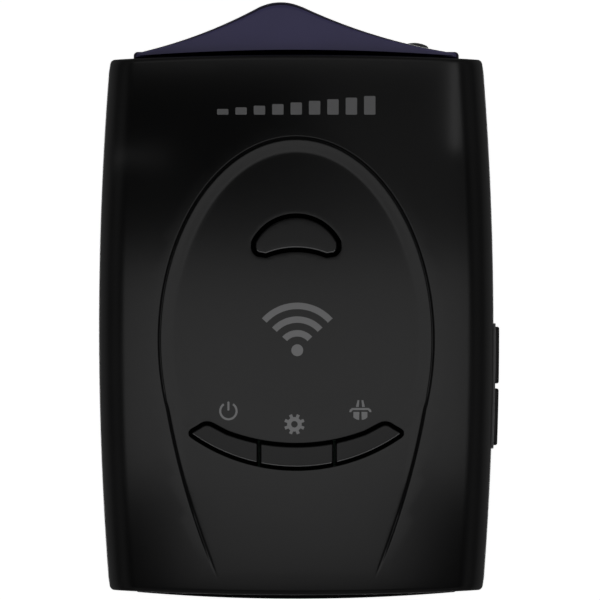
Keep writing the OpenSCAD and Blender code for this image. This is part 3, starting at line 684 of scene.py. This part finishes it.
# ---- dish
def crease_loop(inset, n_tongue=60, n_arc=110, n_end=24):
    """Closed outline of the dish and its tongue, moved inwards by inset."""
    rows = [TONGUE_Y1 + (TONGUE_Y0 - TONGUE_Y1) * i / n_tongue for i in range(n_tongue)]
    half = [(crease_x(y), y) for y in rows]
    start = math.asin((TONGUE_Y0 - DISH_Y) / DISH_B)
    for i in range(n_arc + 1):
        a = start + (math.pi / 2 - start) * i / n_arc
        half.append((DISH_A * math.cos(a), DISH_Y + DISH_B * math.sin(a)))
    left = [(-x, y) for x, y in half[-2::-1]]
    end = [(TONGUE_X1 * (2 * i / n_end - 1), TONGUE_Y1) for i in range(1, n_end)]
    return grow(half + left + end, -inset)


# Across the crease: distance in from the outline, depth of the thin groove, share of the dish's depth
CREASE = [(-0.34, 0.0, 0.0), (-0.22, 0.03, 0.0), (-0.12, 0.12, 0.0), (-0.04, 0.26, 0.0), (0.04, 0.40, 0.1),
          (0.12, 0.46, 0.4), (0.22, 0.42, 0.8), (0.32, 0.26, 1.0), (0.42, 0.10, 1.0), (0.54, 0.02, 1.0),
          (0.7, 0.0, 1.0)]


def crease_ring(inset, groove, share):
    """One ring of the crease, a given distance inside the dish outline."""
    ring = []
    for x, y in crease_loop(inset):
        line = groove * smooth((y - GROOVE_END) / GROOVE_FADE)
        ring.append((x, y, crown(x, y) - line - (crown(x, y) - dish_z(x, y)) * share))
    return ring


def bowl_lines():
    """Points along both edges of the sloping band, so that the mesh follows them."""
    out = []
    for inset in (-0.35, 0.0, 0.35, 2.45, 2.8, 3.15):
        for i in range(900):
            a = 2 * math.pi * i / 900
            low, high = 5.0, 45.0
            for _ in range(24):
                mid = (low + high) / 2
                if bowl_inside(mid * math.cos(a), BOWL_Y + mid * math.sin(a)) > inset:
                    low = mid
                else:
                    high = mid
            x, y = low * math.cos(a), BOWL_Y + low * math.sin(a)
            if y > TONGUE_Y1 + 1 and crease_x(y) - abs(x) > 1.2 or y > 20 and inset > 2:
                out.append((x, y))
    return out


# ---- keys in the plan
def row_low(x):
    """Lower edge of the key row at x."""
    return ROW_LOW_Y - math.sqrt(ROW_LOW_R ** 2 - x * x)


def shoulder_y(a):
    """Upper edge of the round shoulder at a distance a from the middle."""
    return SHOULDER_Y + math.sqrt(SHOULDER_R ** 2 - (a - SHOULDER_X) ** 2)


def row_high(x):
    """Upper edge of the key row at x."""
    a = abs(x)
    if a <= ROW_HIGH_END:
        return ROW_HIGH_Y - math.sqrt(ROW_HIGH_R ** 2 - a * a)
    if a < SHOULDER_IN:
        start = ROW_HIGH_Y - math.sqrt(ROW_HIGH_R ** 2 - ROW_HIGH_END ** 2)
        return start + (shoulder_y(SHOULDER_IN) - start) * (a - ROW_HIGH_END) / (SHOULDER_IN - ROW_HIGH_END)
    if a < SHOULDER_OUT:
        return shoulder_y(a)
    start, tip = shoulder_y(SHOULDER_OUT), row_low(ROW_TIP)
    return start + (tip - start) * (a - SHOULDER_OUT) / (ROW_TIP - SHOULDER_OUT)


def row_outline(x0, x1, n=420, r=0.45):
    """Outline of the key row between x0 and x1, counter-clockwise, with rounded corners."""
    def end(x, way):
        """Points up or down the end at x."""
        if abs(x) >= ROW_TIP:
            tip = (x, row_low(x))
            back = x - way * r
            return corner((back, row_low(back)), tip, (back, row_high(back)))
        inner = x - way * r
        low, high = row_low(x), row_high(x)
        return (corner((inner, row_low(inner)), (x, low), (x, low + r))
                + corner((x, high - r), (x, high), (inner, row_high(inner))))
    steps = 60
    span = [x0 + r + (x1 - x0 - 2 * r) * i / steps for i in range(1, steps)]
    pts = [(x, row_low(x)) for x in span] + end(x1, 1)
    pts += [(x, row_high(x)) for x in reversed(span)] + end(x0, -1)[::-1]
    return resample(pts, n)


def mute_outline(n=220):
    """Crescent: a round back, two soft lobes and a hollow front edge."""
    lobe = arc(LOBE_X, LOBE_Y, LOBE_R, -62, 18, 10)
    back = arc(0, BACK_Y, BACK_R, 27, 153, 60)
    hollow = arc(0, HOLLOW_Y, HOLLOW_R, 112, 68, 30)
    left = [(-x, y) for x, y in lobe[::-1]]
    return resample(lobe + back + left + hollow, n)


ROW_OPENING = grow(row_outline(-ROW_TIP, ROW_TIP), ROW_GAP)
MUTE_OPENING = grow(mute_outline(), MUTE_GAP)


def lip_rings(opening, floor, height, steps=5):
    """Rounded lip of an opening, from the face inwards and down to floor."""
    rings = []
    for i in range(steps + 1):
        a = math.pi / 2 * i / steps
        rings.append(over(grow(opening, LIP * (1 - math.sin(a))), height, -LIP * (1 - math.cos(a))))
    return rings + [level(opening, floor)]


# ---- top shell
def shell_walls(up):
    """Outer skin rings of one shell from the seam to the end of the rolled edge."""
    rings = [level_ring(SEAM_CHAMFER, SEAM_Z, up), level_ring(0.05, SEAM_Z + up * 0.1, up),
             level_ring(0.0, SEAM_Z + up * SEAM_CHAMFER, up)]
    wall = level_ring(0.0, SEAM_Z, up)
    edge = edge_ring(0.0, 0.0, up)
    for share in (0.3, 0.65):
        rings.append([(p[0], p[1], SEAM_Z + (e[2] - SEAM_Z) * share) for p, e in zip(wall, edge)])
    steps = 20
    rings += [edge_ring(0.0, math.pi / 2 * i / steps, up) for i in range(steps + 1)]
    return rings


def inner_walls(up):
    """Inner skin rings of one shell from the seam to the end of the inner roll."""
    steps = 6
    rings = [level_ring(WALL, SEAM_Z, up)]
    return rings + [edge_ring(WALL, math.pi / 2 * i / steps, up) for i in range(steps + 1)]


POCKET_PLAY, BOSS_MARGIN = 0.8, 0.9


def make_top_shell():
    """The top shell with its dish, key openings and underside, before its side openings are cut."""
    m = Mesh()
    outer = m.rings(shell_walls(1))
    rim = [m.ring(crease_ring(*entry)) for entry in CREASE]
    m.patch(outer[-1], [rim[0]], crown, 2.2)
    for a, b in zip(rim, rim[1:]):
        m.bridge(a, b)
    row = m.rings(lip_rings(ROW_OPENING, ROW_FLOOR_Z, dish_z))
    mute = m.rings(lip_rings(MUTE_OPENING, DISH_FLOOR_Z, dish_z))
    m.patch(rim[-1], [row[0], mute[0]], dish_z, 0.6, extra=bowl_lines())
    # Underside: the pocket for the row's flanges, and the thick floor under the dish
    pocket = grow(ROW_OPENING, POCKET_PLAY)
    ledge = m.ring(level(pocket, ROW_FLOOR_Z))
    under = m.ring(level(pocket, DISH_FLOOR_Z))
    m.bridge(row[-1], ledge)
    m.bridge(ledge, under)
    inner = m.rings(inner_walls(1)[::-1])
    boss = crease_loop(-BOSS_MARGIN)
    ceiling = m.ring(over(boss, crown, -WALL))
    floor = m.ring(level(boss, DISH_FLOOR_Z))
    m.bridge(ceiling, floor)
    m.patch(inner[0], [ceiling], lambda x, y: crown(x, y) - WALL, 5.0, up=False)
    m.patch(floor, [under, mute[-1]], lambda x, y: DISH_FLOOR_Z, 4.0, up=False)
    m.bridge(inner[-1], outer[0])
    return m


def side_face(u, v):
    """Distance of the side wall from the middle, seen from the side: u runs along the body."""
    return side_half(u)


def front_face(u, v):
    """Distance of the front wall from the middle."""
    return BODY_FRONT - end_shift(u)


def rear_face(u, v):
    """Distance of the rear wall from the middle."""
    return BODY_BACK - end_shift(u)


def base_face(u, v):
    """Level of the underside."""
    return 0.0


def opened(outline, face, turn, depth=4.0, flare=0.25):
    """A finished cutter object for an opening in a wall."""
    tool = placed(skin_cutter(outline, face, depth, flare), turn)
    return tool.build("cutter", SHELL)


# Openings in the walls: from and to along the wall, then from and to in height; or a middle and its size
KEY_SLOT = (-23.05, 0.6, 18.55, 23.85)
DISPLAY_SLOT = (-31.0, 31.0, 14.4, 25.6)
LENS_SLOT = (-29.0, 29.0, 15.4, 26.6)
JACK_AT, JACK_R = (-30.0, 14.6), 3.0
USB_AT, USB_HALF_W, USB_HALF_H = (-14.0, 15.9), 4.1, 2.1
HOUSING_SCREWS = [(29.5, 31), (-29.5, 31), (29.5, -41), (-29.5, -41)]


def fine_box(x0, x1, y0, y1, r, n=160):
    """A rounded rectangle with evenly spaced points."""
    return resample(box_outline(x0, x1, y0, y1, r), n)


top = make_top_shell().build("top_shell_skin", SHELL)
jack_hole = round_outline(-JACK_AT[0], JACK_AT[1], JACK_R, 48)
usb_hole = box_outline(-USB_AT[0] - USB_HALF_W, -USB_AT[0] + USB_HALF_W,
                       USB_AT[1] - USB_HALF_H, USB_AT[1] + USB_HALF_H, 0.8)
cut(top, [
    opened(fine_box(*KEY_SLOT, 0.9), side_face, FROM_RIGHT),
    opened(jack_hole, side_face, FROM_LEFT),
    opened(usb_hole, side_face, FROM_LEFT),
    opened(fine_box(*DISPLAY_SLOT, 0.8), rear_face, FROM_REAR, flare=0.15),
    opened(fine_box(*LENS_SLOT, 1.0), front_face, FROM_FRONT, flare=0.1),
])
install(top, "top_shell")


# ---- bottom shell
def make_bottom_shell():
    """The bottom shell as a tray, before its bosses are added and its openings cut."""
    m = Mesh()
    outer = m.rings(shell_walls(-1))
    m.patch(outer[-1], [], base_face, 6.0, up=False)
    inner = m.rings(inner_walls(-1))
    m.patch(inner[-1], [], lambda x, y: WALL, 8.0)
    m.bridge(outer[0], inner[0])
    return m


SLOT_Z0, SLOT_Z1, SLOT_HALF, SLOT_LEN = 2.6, 5.4, 10.0, 15.0
RELEASE_X, RELEASE_Z, RELEASE_R = 23.0, 5.3, 2.8
SPEAKER_Y, SPEAKER_PITCH, SPEAKER_R = -24.0, 2.4, 11.5
GUIDE_WALL = 1.4
LABEL_SEAT = (-17, 17, -28, -8)


def speaker_slots():
    """Nine rounded slots under the speaker, in one cutter."""
    m = Mesh()
    for i in range(-4, 5):
        half = math.sqrt(SPEAKER_R ** 2 - (SPEAKER_PITCH * i) ** 2) - 0.7
        y = -SPEAKER_Y - SPEAKER_PITCH * i
        outline = arc(half, y, 0.65, -90, 90, 10) + arc(-half, y, 0.65, 90, 270, 10)
        m.add(skin_cutter(outline, base_face, 3.0, 0.22))
    return placed(m, FROM_BELOW).build("cutter", BASE)


def screw_wells():
    """Wells for the heads of the housing screws, in one cutter."""
    m = Mesh()
    for x, y in HOUSING_SCREWS:
        m.add(skin_cutter(round_outline(x, -y, 2.3, 40), base_face, 3.0, 0.3))
    return placed(m, FROM_BELOW).build("cutter", BASE)


base = make_bottom_shell().build("bottom_shell_skin", BASE)
guide = box_outline(-SLOT_HALF - GUIDE_WALL, SLOT_HALF + GUIDE_WALL,
                    BODY_FRONT - SLOT_LEN - GUIDE_WALL, BODY_FRONT - GUIDE_WALL, 0.5)
bosses = plate(guide, 0.5, SLOT_Z1 + 1.5)
for x, y in HOUSING_SCREWS:
    bosses.add(plate(round_outline(x, y, 3.0), 0.8, SEAM_Z - 0.1))
cut(base, [bosses.build("bosses", BASE)], "UNION")
release_hole = round_outline(-RELEASE_X, RELEASE_Z, RELEASE_R + 0.15, 48)
cut(base, [
    opened(fine_box(-SLOT_HALF, SLOT_HALF, SLOT_Z0, SLOT_Z1, 0.4), front_face, FROM_FRONT, SLOT_LEN, 0.35),
    opened(release_hole, front_face, FROM_FRONT, flare=0.2),
    opened(box_outline(*LABEL_SEAT, 1.0), base_face, FROM_BELOW, 0.3, 0.1),
    speaker_slots(),
    screw_wells(),
])
install(base, "bottom_shell")


# ---- keys
def key_mesh(outline, bottom, height, edge=0.3, painted_edge_line=False):
    """A key cap with rounded upper edges and a smooth top; its last flag paints a fine light line on its
    near edge, a painted highlight.
    """
    rings = [level(outline, bottom)]
    steps = 6
    for i in range(steps + 1):
        a = math.pi / 2 * i / steps
        rings.append(over(grow(outline, -edge * (1 - math.cos(a))), height, -edge * (1 - math.sin(a))))
    m = Mesh()
    made = m.rings(rings)
    n = len(outline)
    # Facets of the edge rounding that face the driver take the light grey: a painted highlight.
    for i in range(n if painted_edge_line else 0):
        (ax, ay), (bx, by) = outline[i], outline[(i + 1) % n]
        if bx - ax > 0.6 * math.dist((ax, ay), (bx, by)):
            m.marks[4 * n + i] = PAINTED_HIGHLIGHT_MARK
            m.marks[5 * n + i] = PAINTED_HIGHLIGHT_MARK
    m.faces.append(tuple(made[0][::-1]))
    m.patch(made[-1], [], height, 0.8)
    return m


def stem(x, y, z0, z1, r=1.6):
    return plate(round_outline(x, y, r), z0, z1)


def row_key_z(x, y):
    """Top of the keys in the row."""
    return tongue_z(x, y) + 0.04


def mute_key_z(x, y):
    """Top of the crescent key, slightly crowned and tilted towards the driver."""
    return dish_z(x, y) + 0.06 - MUTE_CROWN * x * x + MUTE_TILT * (y - MUTE_STEM_Y)


FLANGE_T, FLANGE_PLAY = 0.8, 0.15
# Materials of a key after its body's: the painted highlight along its lower edge, and the painted shade on
# the parts down in the gap
PAINTED_HIGHLIGHT_MARK, PAINTED_SHADE_MARK = 1, 2
RIDES = {"volume_up_button": "volume_up_unit", "volume_down_button": "volume_down_unit"}


def finish_key(mesh, name, material):
    """Builds a moving piece in place of its CAD node, on its own body."""
    install(mesh.build(name + "_cap", material), name, RIDES.get(name, name + "_unit"))


def make_row_key(name, x0, x1, stem_x, stem_y):
    """A key of the row between x0 and x1, with its flange and the stem that presses the switch."""
    low, high = node_box(name)
    under = ROW_FLOOR_Z - FLANGE_PLAY - FLANGE_T
    # The cap's near edge takes a painted highlight.
    m = key_mesh(grow(row_outline(x0, x1, 260), -0.08), under, row_key_z, painted_edge_line=True)
    wide = [(min(max(x, low.x), high.x), y) for x, y in grow(row_outline(x0, x1, 260), 0.64)]
    # The flange and the stem take near black with no sheen: painted shade down in the gap.
    m.add(plate(wide, under, under + FLANGE_T), PAINTED_SHADE_MARK)
    m.add(stem(stem_x, stem_y, low.z, under + 0.1), PAINTED_SHADE_MARK)
    finish_key(m, name, [KEY, PAINTED_EDGE_HIGHLIGHT, PAINTED_GAP_SHADE])


def make_mute_key():
    """The crescent key, with its flange and stem."""
    low, _ = node_box("mute_button")
    under = DISH_FLOOR_Z - FLANGE_PLAY - FLANGE_T
    # The cap's near edge takes a painted highlight.
    m = key_mesh(grow(mute_outline(), -0.3), under, mute_key_z, 0.35, painted_edge_line=True)
    # The flange and the stem take near black with no sheen: painted shade down in the gap.
    m.add(plate(grow(mute_outline(), 0.75), under, under + FLANGE_T), PAINTED_SHADE_MARK)
    m.add(stem(0.0, MUTE_STEM_Y, low.z, under + 0.1), PAINTED_SHADE_MARK)
    finish_key(m, "mute_button", [KEY, PAINTED_EDGE_HIGHLIGHT, PAINTED_GAP_SHADE])


def make_side_key(name):
    """A side key with rounded edges whose outer face follows the side wall."""
    low, high = node_box(name)
    wall_x = side_half(KEY_SLOT[0] + 0.35) - WALL
    margin, edge = 0.8, 0.38
    outline = fine_box(low.y, high.y, low.z + margin, high.z - margin, 0.6, 120)
    m = key_mesh(outline, wall_x - 1.4, lambda u, v: side_half(u) + SIDE_PROUD, edge)
    m.add(plate(box_outline(low.y, high.y, low.z, high.z, 0.3), wall_x - 1.1, wall_x - 0.3))
    m.add(stem((low.y + high.y) / 2, (low.z + high.z) / 2, low.x, wall_x - 1.3, 1.5))
    finish_key(placed(m, FROM_RIGHT), name, SIDE_KEY)


def make_release_button():
    """A domed button on a round shaft whose inner end is cut at 45 degrees."""
    low, high = node_box("release_button")
    dome_r, dome_steps = 5.2, 12
    shaft_r, flange_r = 1.6, RELEASE_R + 0.5
    flange_back, flange_front = 48.4, 49.6
    root, tip = low.y, high.y
    circle = round_outline(RELEASE_X, RELEASE_Z, 1.0, 56)

    def ring(r, y):
        return [(RELEASE_X + (x - RELEASE_X) * r, y, RELEASE_Z + (z - RELEASE_Z) * r) for x, z in circle]

    slanted = [(x, root + shaft_r + (x - RELEASE_X), z) for x, _, z in ring(shaft_r, 0)]
    rings = [slanted, ring(shaft_r, flange_back), ring(flange_r, flange_back), ring(flange_r, flange_front)]
    rings += [ring(RELEASE_R, flange_front), ring(RELEASE_R, tip - 1.25)]
    rings += [ring(RELEASE_R - 0.04, tip - 0.98), ring(RELEASE_R - 0.15, tip - 0.8)]
    for k in range(dome_steps):
        r = (RELEASE_R - 0.35) * (1 - k / dome_steps) + 0.02
        rings.append(ring(r, tip - dome_r + math.sqrt(dome_r ** 2 - r ** 2)))
    finish_key(lofted(rings), "release_button", RELEASE)


def make_latch_spring():
    """Compression spring between the latch and its rib."""
    low, high = node_box("latch_spring")
    cy, cz = (low.y + high.y) / 2, (low.z + high.z) / 2
    turns, steps, wire_r, wire_steps = 6, 28, 0.21, 10
    coil_r = (high.y - low.y) / 2 - wire_r
    rings = []
    for i in range(turns * steps + 1):
        a = 2 * math.pi * i / steps
        x = low.x + wire_r + (high.x - low.x - 2 * wire_r) * i / (turns * steps)
        ring = []
        for j in range(wire_steps):
            b = 2 * math.pi * j / wire_steps
            r = coil_r + wire_r * math.cos(b)
            ring.append((x + wire_r * math.sin(b), cy + r * math.cos(a), cz + r * math.sin(a)))
        rings.append(ring)
    piece = lofted(rings).build("latch_spring_coil", SPRING)
    install(piece, "latch_spring")
    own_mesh(piece)


def make_display_window():
    """Curved smoked plate in the rear wall."""
    play = 0.05
    outline = fine_box(DISPLAY_SLOT[0] + play, DISPLAY_SLOT[1] - play,
                       DISPLAY_SLOT[2] + play, DISPLAY_SLOT[3] - play, 0.75, 300)
    inner = BODY_BACK - WALL - 0.8
    m = key_mesh(outline, inner, lambda u, v: -window_low.y - DISPLAY_FALL * end_shift(u), 0.35)
    install(placed(m, FROM_REAR).build("display_window_plate", WINDOW), "display_window")


half_gap = ROW_KEY_GAP / 2
make_row_key("power_button", -ROW_TIP, ROW_SPLIT[0] - half_gap, -14, -22.6)
make_row_key("settings_button", ROW_SPLIT[0] + half_gap, ROW_SPLIT[1] - half_gap, 0, -24.8)
make_row_key("mode_button", ROW_SPLIT[1] + half_gap, ROW_TIP, 14, -22.6)
make_mute_key()
make_side_key("volume_up_button")
make_side_key("volume_down_button")
make_release_button()
make_latch_spring()
make_display_window()


# ---- front lens
# Half width at the foot, points along the foot, and widest part of the dark groove behind it
LENS_HALF, FOOT_STEPS, LENS_GAP = 31.45, 60, 0.4


def lens_outline():
    """Plan of the lens, counter-clockwise, with its crest left of the middle."""
    right = arc(30.65, 52.6, 0.8, 0, 90, 6)
    flank_r = bow((29.2, 53.4), (1.3, 62.05), 1.0, 40)
    apex = bow((0.6, 62.3), (-6.6, 62.3), -0.7, 24)
    flank_l = bow((-7.2, 62.05), (-29.9, 53.4), 0.8, 40)
    left = [(-x, y) for x, y in reversed(right)]
    foot = [(x, BODY_FRONT - end_shift(x) + LENS_GAP * (1 - (x / LENS_HALF) ** 2))
            for x in (-LENS_HALF + 2 * LENS_HALF * i / FOOT_STEPS for i in range(FOOT_STEPS + 1))]
    return right + flank_r + apex + flank_l + left + foot


def make_lens():
    """The tinted front lens, with rounded upper and lower edges, and its sides made darker as painted shade.
    """
    z0, z1 = lens_low.z, lens_high.z
    outline = lens_outline()
    foot = BODY_FRONT - 0.7
    n_front = len(outline) - FOOT_STEPS - 1
    r, steps = 1.2, 8

    def ring(k, z):
        """The outline at level z, drawn in by about k on all sides."""
        front = [(x * (1 - k / 31), foot + (y - foot) * (1 - k / 10), z) for x, y in outline[:n_front]]
        return front + [(x * (1 - k / 31), y + k * 0.5, z) for x, y in outline[n_front:]]

    rings = []
    for i in range(steps + 1):
        a = math.pi / 2 * i / steps
        rings.append(ring(r * (1 - math.sin(a)), z0 + r * (1 - math.cos(a))))
    for i in range(steps, -1, -1):
        a = math.pi / 2 * i / steps
        rings.append(ring(r * (1 - math.sin(a)), z1 - r * (1 - math.cos(a))))
    m = lofted(rings)
    n = len(outline)
    # All but the last three turns of faces, and the lower cap, take the darker resin: painted shade
    sides = (2 * steps - 2) * n
    for k in [*range(sides), (2 * steps + 1) * n]:
        m.marks[k] = 1
    install(m.build("front_lens_skin", [LENS, LENS_PAINTED_SIDE_SHADE], 30.0), "front_lens")


def make_lens_seal():
    """Black seal in the groove behind the lens."""
    ahead, depth, narrowing = 0.5, 1.0, 0.985
    z0, z1 = lens_low.z + 1.0, lens_high.z - 0.9
    front = [(x, y + ahead) for x, y in lens_outline()[-FOOT_STEPS - 1:]]
    back = [(x, y - depth) for x, y in reversed(front)]
    outline = [(x * narrowing, y) for x, y in front + back][::-1]
    m = Mesh()
    made = m.rings([level(outline, z0), level(outline, z1)])
    m.patch(made[0], [], lambda x, y: z0, 3.0, up=False)
    m.patch(made[1], [], lambda x, y: z1, 3.0)
    install(m.build("lens_seal", FOAM))


def make_key_frame():
    """Fine lip round the slot of the side keys, made light grey as a painted highlight."""
    width, proud, shoulder, bevel, root = 0.3, 0.4, 0.34, 0.06, -0.6
    outer = fine_box(KEY_SLOT[0] - width, KEY_SLOT[1] + width, KEY_SLOT[2] - width, KEY_SLOT[3] + width, 1.1)
    inner = fine_box(*KEY_SLOT, 0.9)
    m = Mesh()
    rings = [over(loop, side_face, rise)
             for loop, rise in ((inner, root), (inner, shoulder), (grow(inner, bevel), proud),
                                (grow(outer, -bevel), proud), (outer, shoulder), (outer, root))]
    made = m.rings(rings)
    m.bridge(made[-1], made[0])
    install(placed(m, FROM_RIGHT).build("side_key_frame", PAINTED_FRAME_HIGHLIGHT))


make_lens()
make_lens_seal()
make_key_frame()


# ---- printed marks
def decal(name, shapes, centre, height, lift=0.03):
    """Thin print that follows the surface; shapes is a list of (outline, holes)."""
    m = Mesh()
    cx, cy = centre
    for outline, holes in shapes:
        loops = [[(cx + x, cy + y) for x, y in loop] for loop in [outline] + holes]
        top_ids = [m.ring(over(loop, height, lift)) for loop in loops]
        low_ids = [m.ring(over(loop, height, -lift)) for loop in loops]
        for a, b in zip(low_ids, top_ids):
            m.bridge(a, b)
        m.patch(top_ids[0], top_ids[1:], lambda x, y: height(x, y) + lift, 0.6)
        m.patch(low_ids[0], low_ids[1:], lambda x, y: height(x, y) - lift, 0.6, up=False)
    install(m.build(name, PRINT))


def band(r0, r1, a0, a1, n=40):
    """Part of a ring between two radii and two angles."""
    return arc(0, 0, r1, a0, a1, n) + arc(0, 0, r0, a1, a0, n)


def power_mark():
    """A broken ring with a bar in the break."""
    return [(band(1.38, 1.78, 124, 416), []), (box_outline(-0.2, 0.2, 0.1, 1.85, 0.15, 3), [])]


def gear_mark(teeth=8, root=1.4, tip=2.0, hole=0.63):
    """A gear wheel."""
    outline = []
    for i in range(teeth):
        middle = 360 * (i + 0.5) / teeth
        outline += arc(0, 0, root, middle - 22.5, middle - 12, 3)
        outline += arc(0, 0, tip, middle - 9, middle + 9, 4)
        outline += arc(0, 0, root, middle + 12, middle + 21, 3)
    return [(outline, [round_outline(0, 0, hole, 28)])]


def road_mark():
    """A bridge over a road."""
    deck = [(-2.15, -0.35), (-1.8, -0.35), (-1.45, 0.05), (1.45, 0.05), (1.8, -0.35), (2.15, -0.35),
            (2.05, 0.1), (1.6, 0.45), (-1.6, 0.45), (-2.05, 0.1)]
    lane = [(0.33, 0.65), (0.88, 0.65), (0.55, 1.95), (0.2, 1.95)]
    bank = [(0.2, -0.3), (1.35, -0.3)] + arc(0.2, -0.3, 1.55, -35, -88, 8)[1:]
    shapes = [deck, lane, [(-x, y) for x, y in reversed(lane)]]
    shapes += [bank[::-1], [(-x, y) for x, y in bank]]
    return [(shape, []) for shape in shapes]


def wave_mark():
    """Three arcs that spread from a dot: a plain radar sign."""
    def lifted(loop):
        return [(x, y - 4.1) for x, y in loop]
    arcs = [(lifted(band(r - 1.25, r, 42, 138)), []) for r in (3.9, 6.55, 9.2)]
    return arcs + [(lifted(round_outline(0, 0, 1.15)), [])]


def level_mark(bars=9, pitch=3.55, width=2.2):
    """A row of bars that grow from left to right."""
    shapes = []
    for i in range(bars):
        x = (i - (bars - 1) / 2) * pitch
        high = 1.1 + 2.5 * i / (bars - 1)
        shapes.append((box_outline(x - width / 2, x + width / 2, -1.8, high - 1.8, 0.2, 3), []))
    return shapes


decal("power_mark", power_mark(), (-13.1, -16.05), dish_z)
decal("settings_mark", gear_mark(), (-0.35, -18.6), dish_z)
decal("mode_mark", road_mark(), (12.4, -15.9), dish_z)
decal("wave_mark", wave_mark(), (0.2, -0.2), dish_z)
decal("level_mark", level_mark(), (0.0, 43.0), crown)

# ---- CAD nodes that stay
FINISHES = [
    (ACETAL, "bracket_latch"),
    (BOARD, "main_board laser_board display_board"),
    (LAMINATE, "microwave_board"),
    (EPOXY, "processor_chip memory_chips"),
    (TIN, "shield_can gps_module microwave_cover usb_port backup_capacitor"),
    (CAN, "capacitors"),
    (FERRITE, "inductor"),
    (CERAMIC, "gps_patch_antenna"),
    (ZINC, "microwave_horn"),
    (DIODE, "laser_diode"),
    (OPTIC, "laser_focus_lens"),
    (PANEL, "display_panel"),
    (RIBBON, "display_ribbon"),
    (FOAM, "speaker_gasket"),
    (PAPER, "speaker_cone"),
    (MAGNET, "speaker_frame speaker_magnet"),
    (LABEL, "rating_label"),
    (BLACK_PART, "laser_lens_holder power_jack top_switches side_switches"),
    (BLACK_SCREW, "housing_screws"),
    (ZINC_SCREW, "board_screws horn_screws"),
    (IVORY, "power_plunger settings_plunger mode_plunger mute_plunger"),
    (IVORY, "volume_up_plunger volume_down_plunger"),
]
for finish, names in FINISHES:
    for name in names.split():
        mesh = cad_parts[name].data
        mesh.materials.clear()
        mesh.materials.append(finish)


# ---- stage, light and camera
def make_floor():
    """Plain pale floor, left open under the flat part of the base, so that it can be seen from below."""
    mat, _, bsdf = shader("floor", Base_Color=grey(0.86), Roughness=0.9, Specular_IOR_Level=0.0)
    bsdf.inputs["Emission Color"].default_value = grey(1.0)
    bsdf.inputs["Emission Strength"].default_value = 0.95
    roll_angle, reach = math.radians(83), 6.0
    hole = [(x * MM, y * MM, 0.0) for x, y, _ in plan_loop(0.0, roll_angle, -1)]
    rim = [Vector(p).normalized() * reach for p in hole]
    n = len(hole)
    mesh = bpy.data.meshes.new("floor")
    mesh.from_pydata(hole + rim, [], [(i, i + n, (i + 1) % n + n, (i + 1) % n) for i in range(n)])
    mesh.materials.append(mat)
    floor = add_object("floor", mesh)
    floor.visible_glossy = False


def make_world():
    """Soft light from all round: dark overhead, a soft ring half way up, and fill from below the horizon."""
    world = bpy.data.worlds.new("studio")
    bpy.context.scene.world = world
    world.use_nodes = True
    tree = world.node_tree
    background = tree.nodes["Background"]
    coords = tree.nodes.new("ShaderNodeTexCoord")
    halved = tree.nodes.new("ShaderNodeMapping")
    halved.inputs["Location"].default_value = (0.5, 0.5, 0.5)
    halved.inputs["Scale"].default_value = (0.5, 0.5, 0.5)
    axes = tree.nodes.new("ShaderNodeSeparateXYZ")
    wire(tree, coords, "Generated", halved, "Vector")
    wire(tree, halved, "Vector", axes, "Vector")
    # Height of the direction (0 straight down, 0.5 the horizon, 1 straight up) and its brightness
    levels = [(0.0, 0.10), (0.2, 0.14), (0.36, 0.15), (0.45, 0.10), (0.51, 0.04), (0.56, 0.05), (0.69, 0.11),
              (0.78, 0.15), (0.84, 0.12), (0.91, 0.04), (0.965, 0.012), (1.0, 0.012)]
    tone = ramp(tree, axes, [(height, grey(value)) for height, value in levels], "Z")
    wire(tree, tone, "Color", background, "Color")
    background.inputs["Strength"].default_value = 1.0


def panel(name, place, aim, size, radiance):
    """A soft panel at place that faces aim, both in millimetres; the camera doesn't see it."""
    light = bpy.data.lights.new(name, "AREA")
    light.shape = "RECTANGLE"
    light.size, light.size_y = size[0] * MM, size[1] * MM
    light.energy = radiance * math.pi * light.size * light.size_y
    obj = add_object(name, light)
    obj.location = Vector(place) * MM
    away = (Vector(place) - Vector(aim)).normalized()
    obj.rotation_euler = away.to_track_quat("Z", "Y").to_euler()
    obj.visible_camera = False


make_floor()
make_world()
# name, place, aim, size and radiance
panel("middle", (0, -9, 72), (0, -9, 30), (94, 46), 0.66)
panel("lower", (0, -40, 72), (0, -40, 30), (54, 27), 0.56)
panel("upper_right", (26, 34, 84), (26, 34, 30), (44, 40), 0.17)
panel("over_lens", (0, 62.5, 50), (0, 62.5, 27), (80, 19), 0.31)
panel("right_strip", (32, 44, 38), (32, 44, 30), (1.6, 18), 1.3)
panel("below", (0, 0, -140), (0, 0, 0), (180, 180), 2.2)
panel("left_strip", (-41, 34, 38), (-34.3, 34, 28), (2.4, 34), 0.3)

# A long lens far above the object: width of the view and place of its middle, in metres, at the level VIEW_Z
VIEW_W = 0.11603
VIEW_X, VIEW_Y, VIEW_Z = 0.00073, 0.00541, 0.026
data = bpy.data.cameras.new("camera")
data.lens = 900
data.sensor_width = 36
camera = add_object("camera", data)
camera.location = (VIEW_X, VIEW_Y, VIEW_Z + VIEW_W * data.lens / data.sensor_width)
data.clip_end = 10
bpy.context.scene.camera = camera
bpy.context.scene.view_settings.view_transform = "Standard"
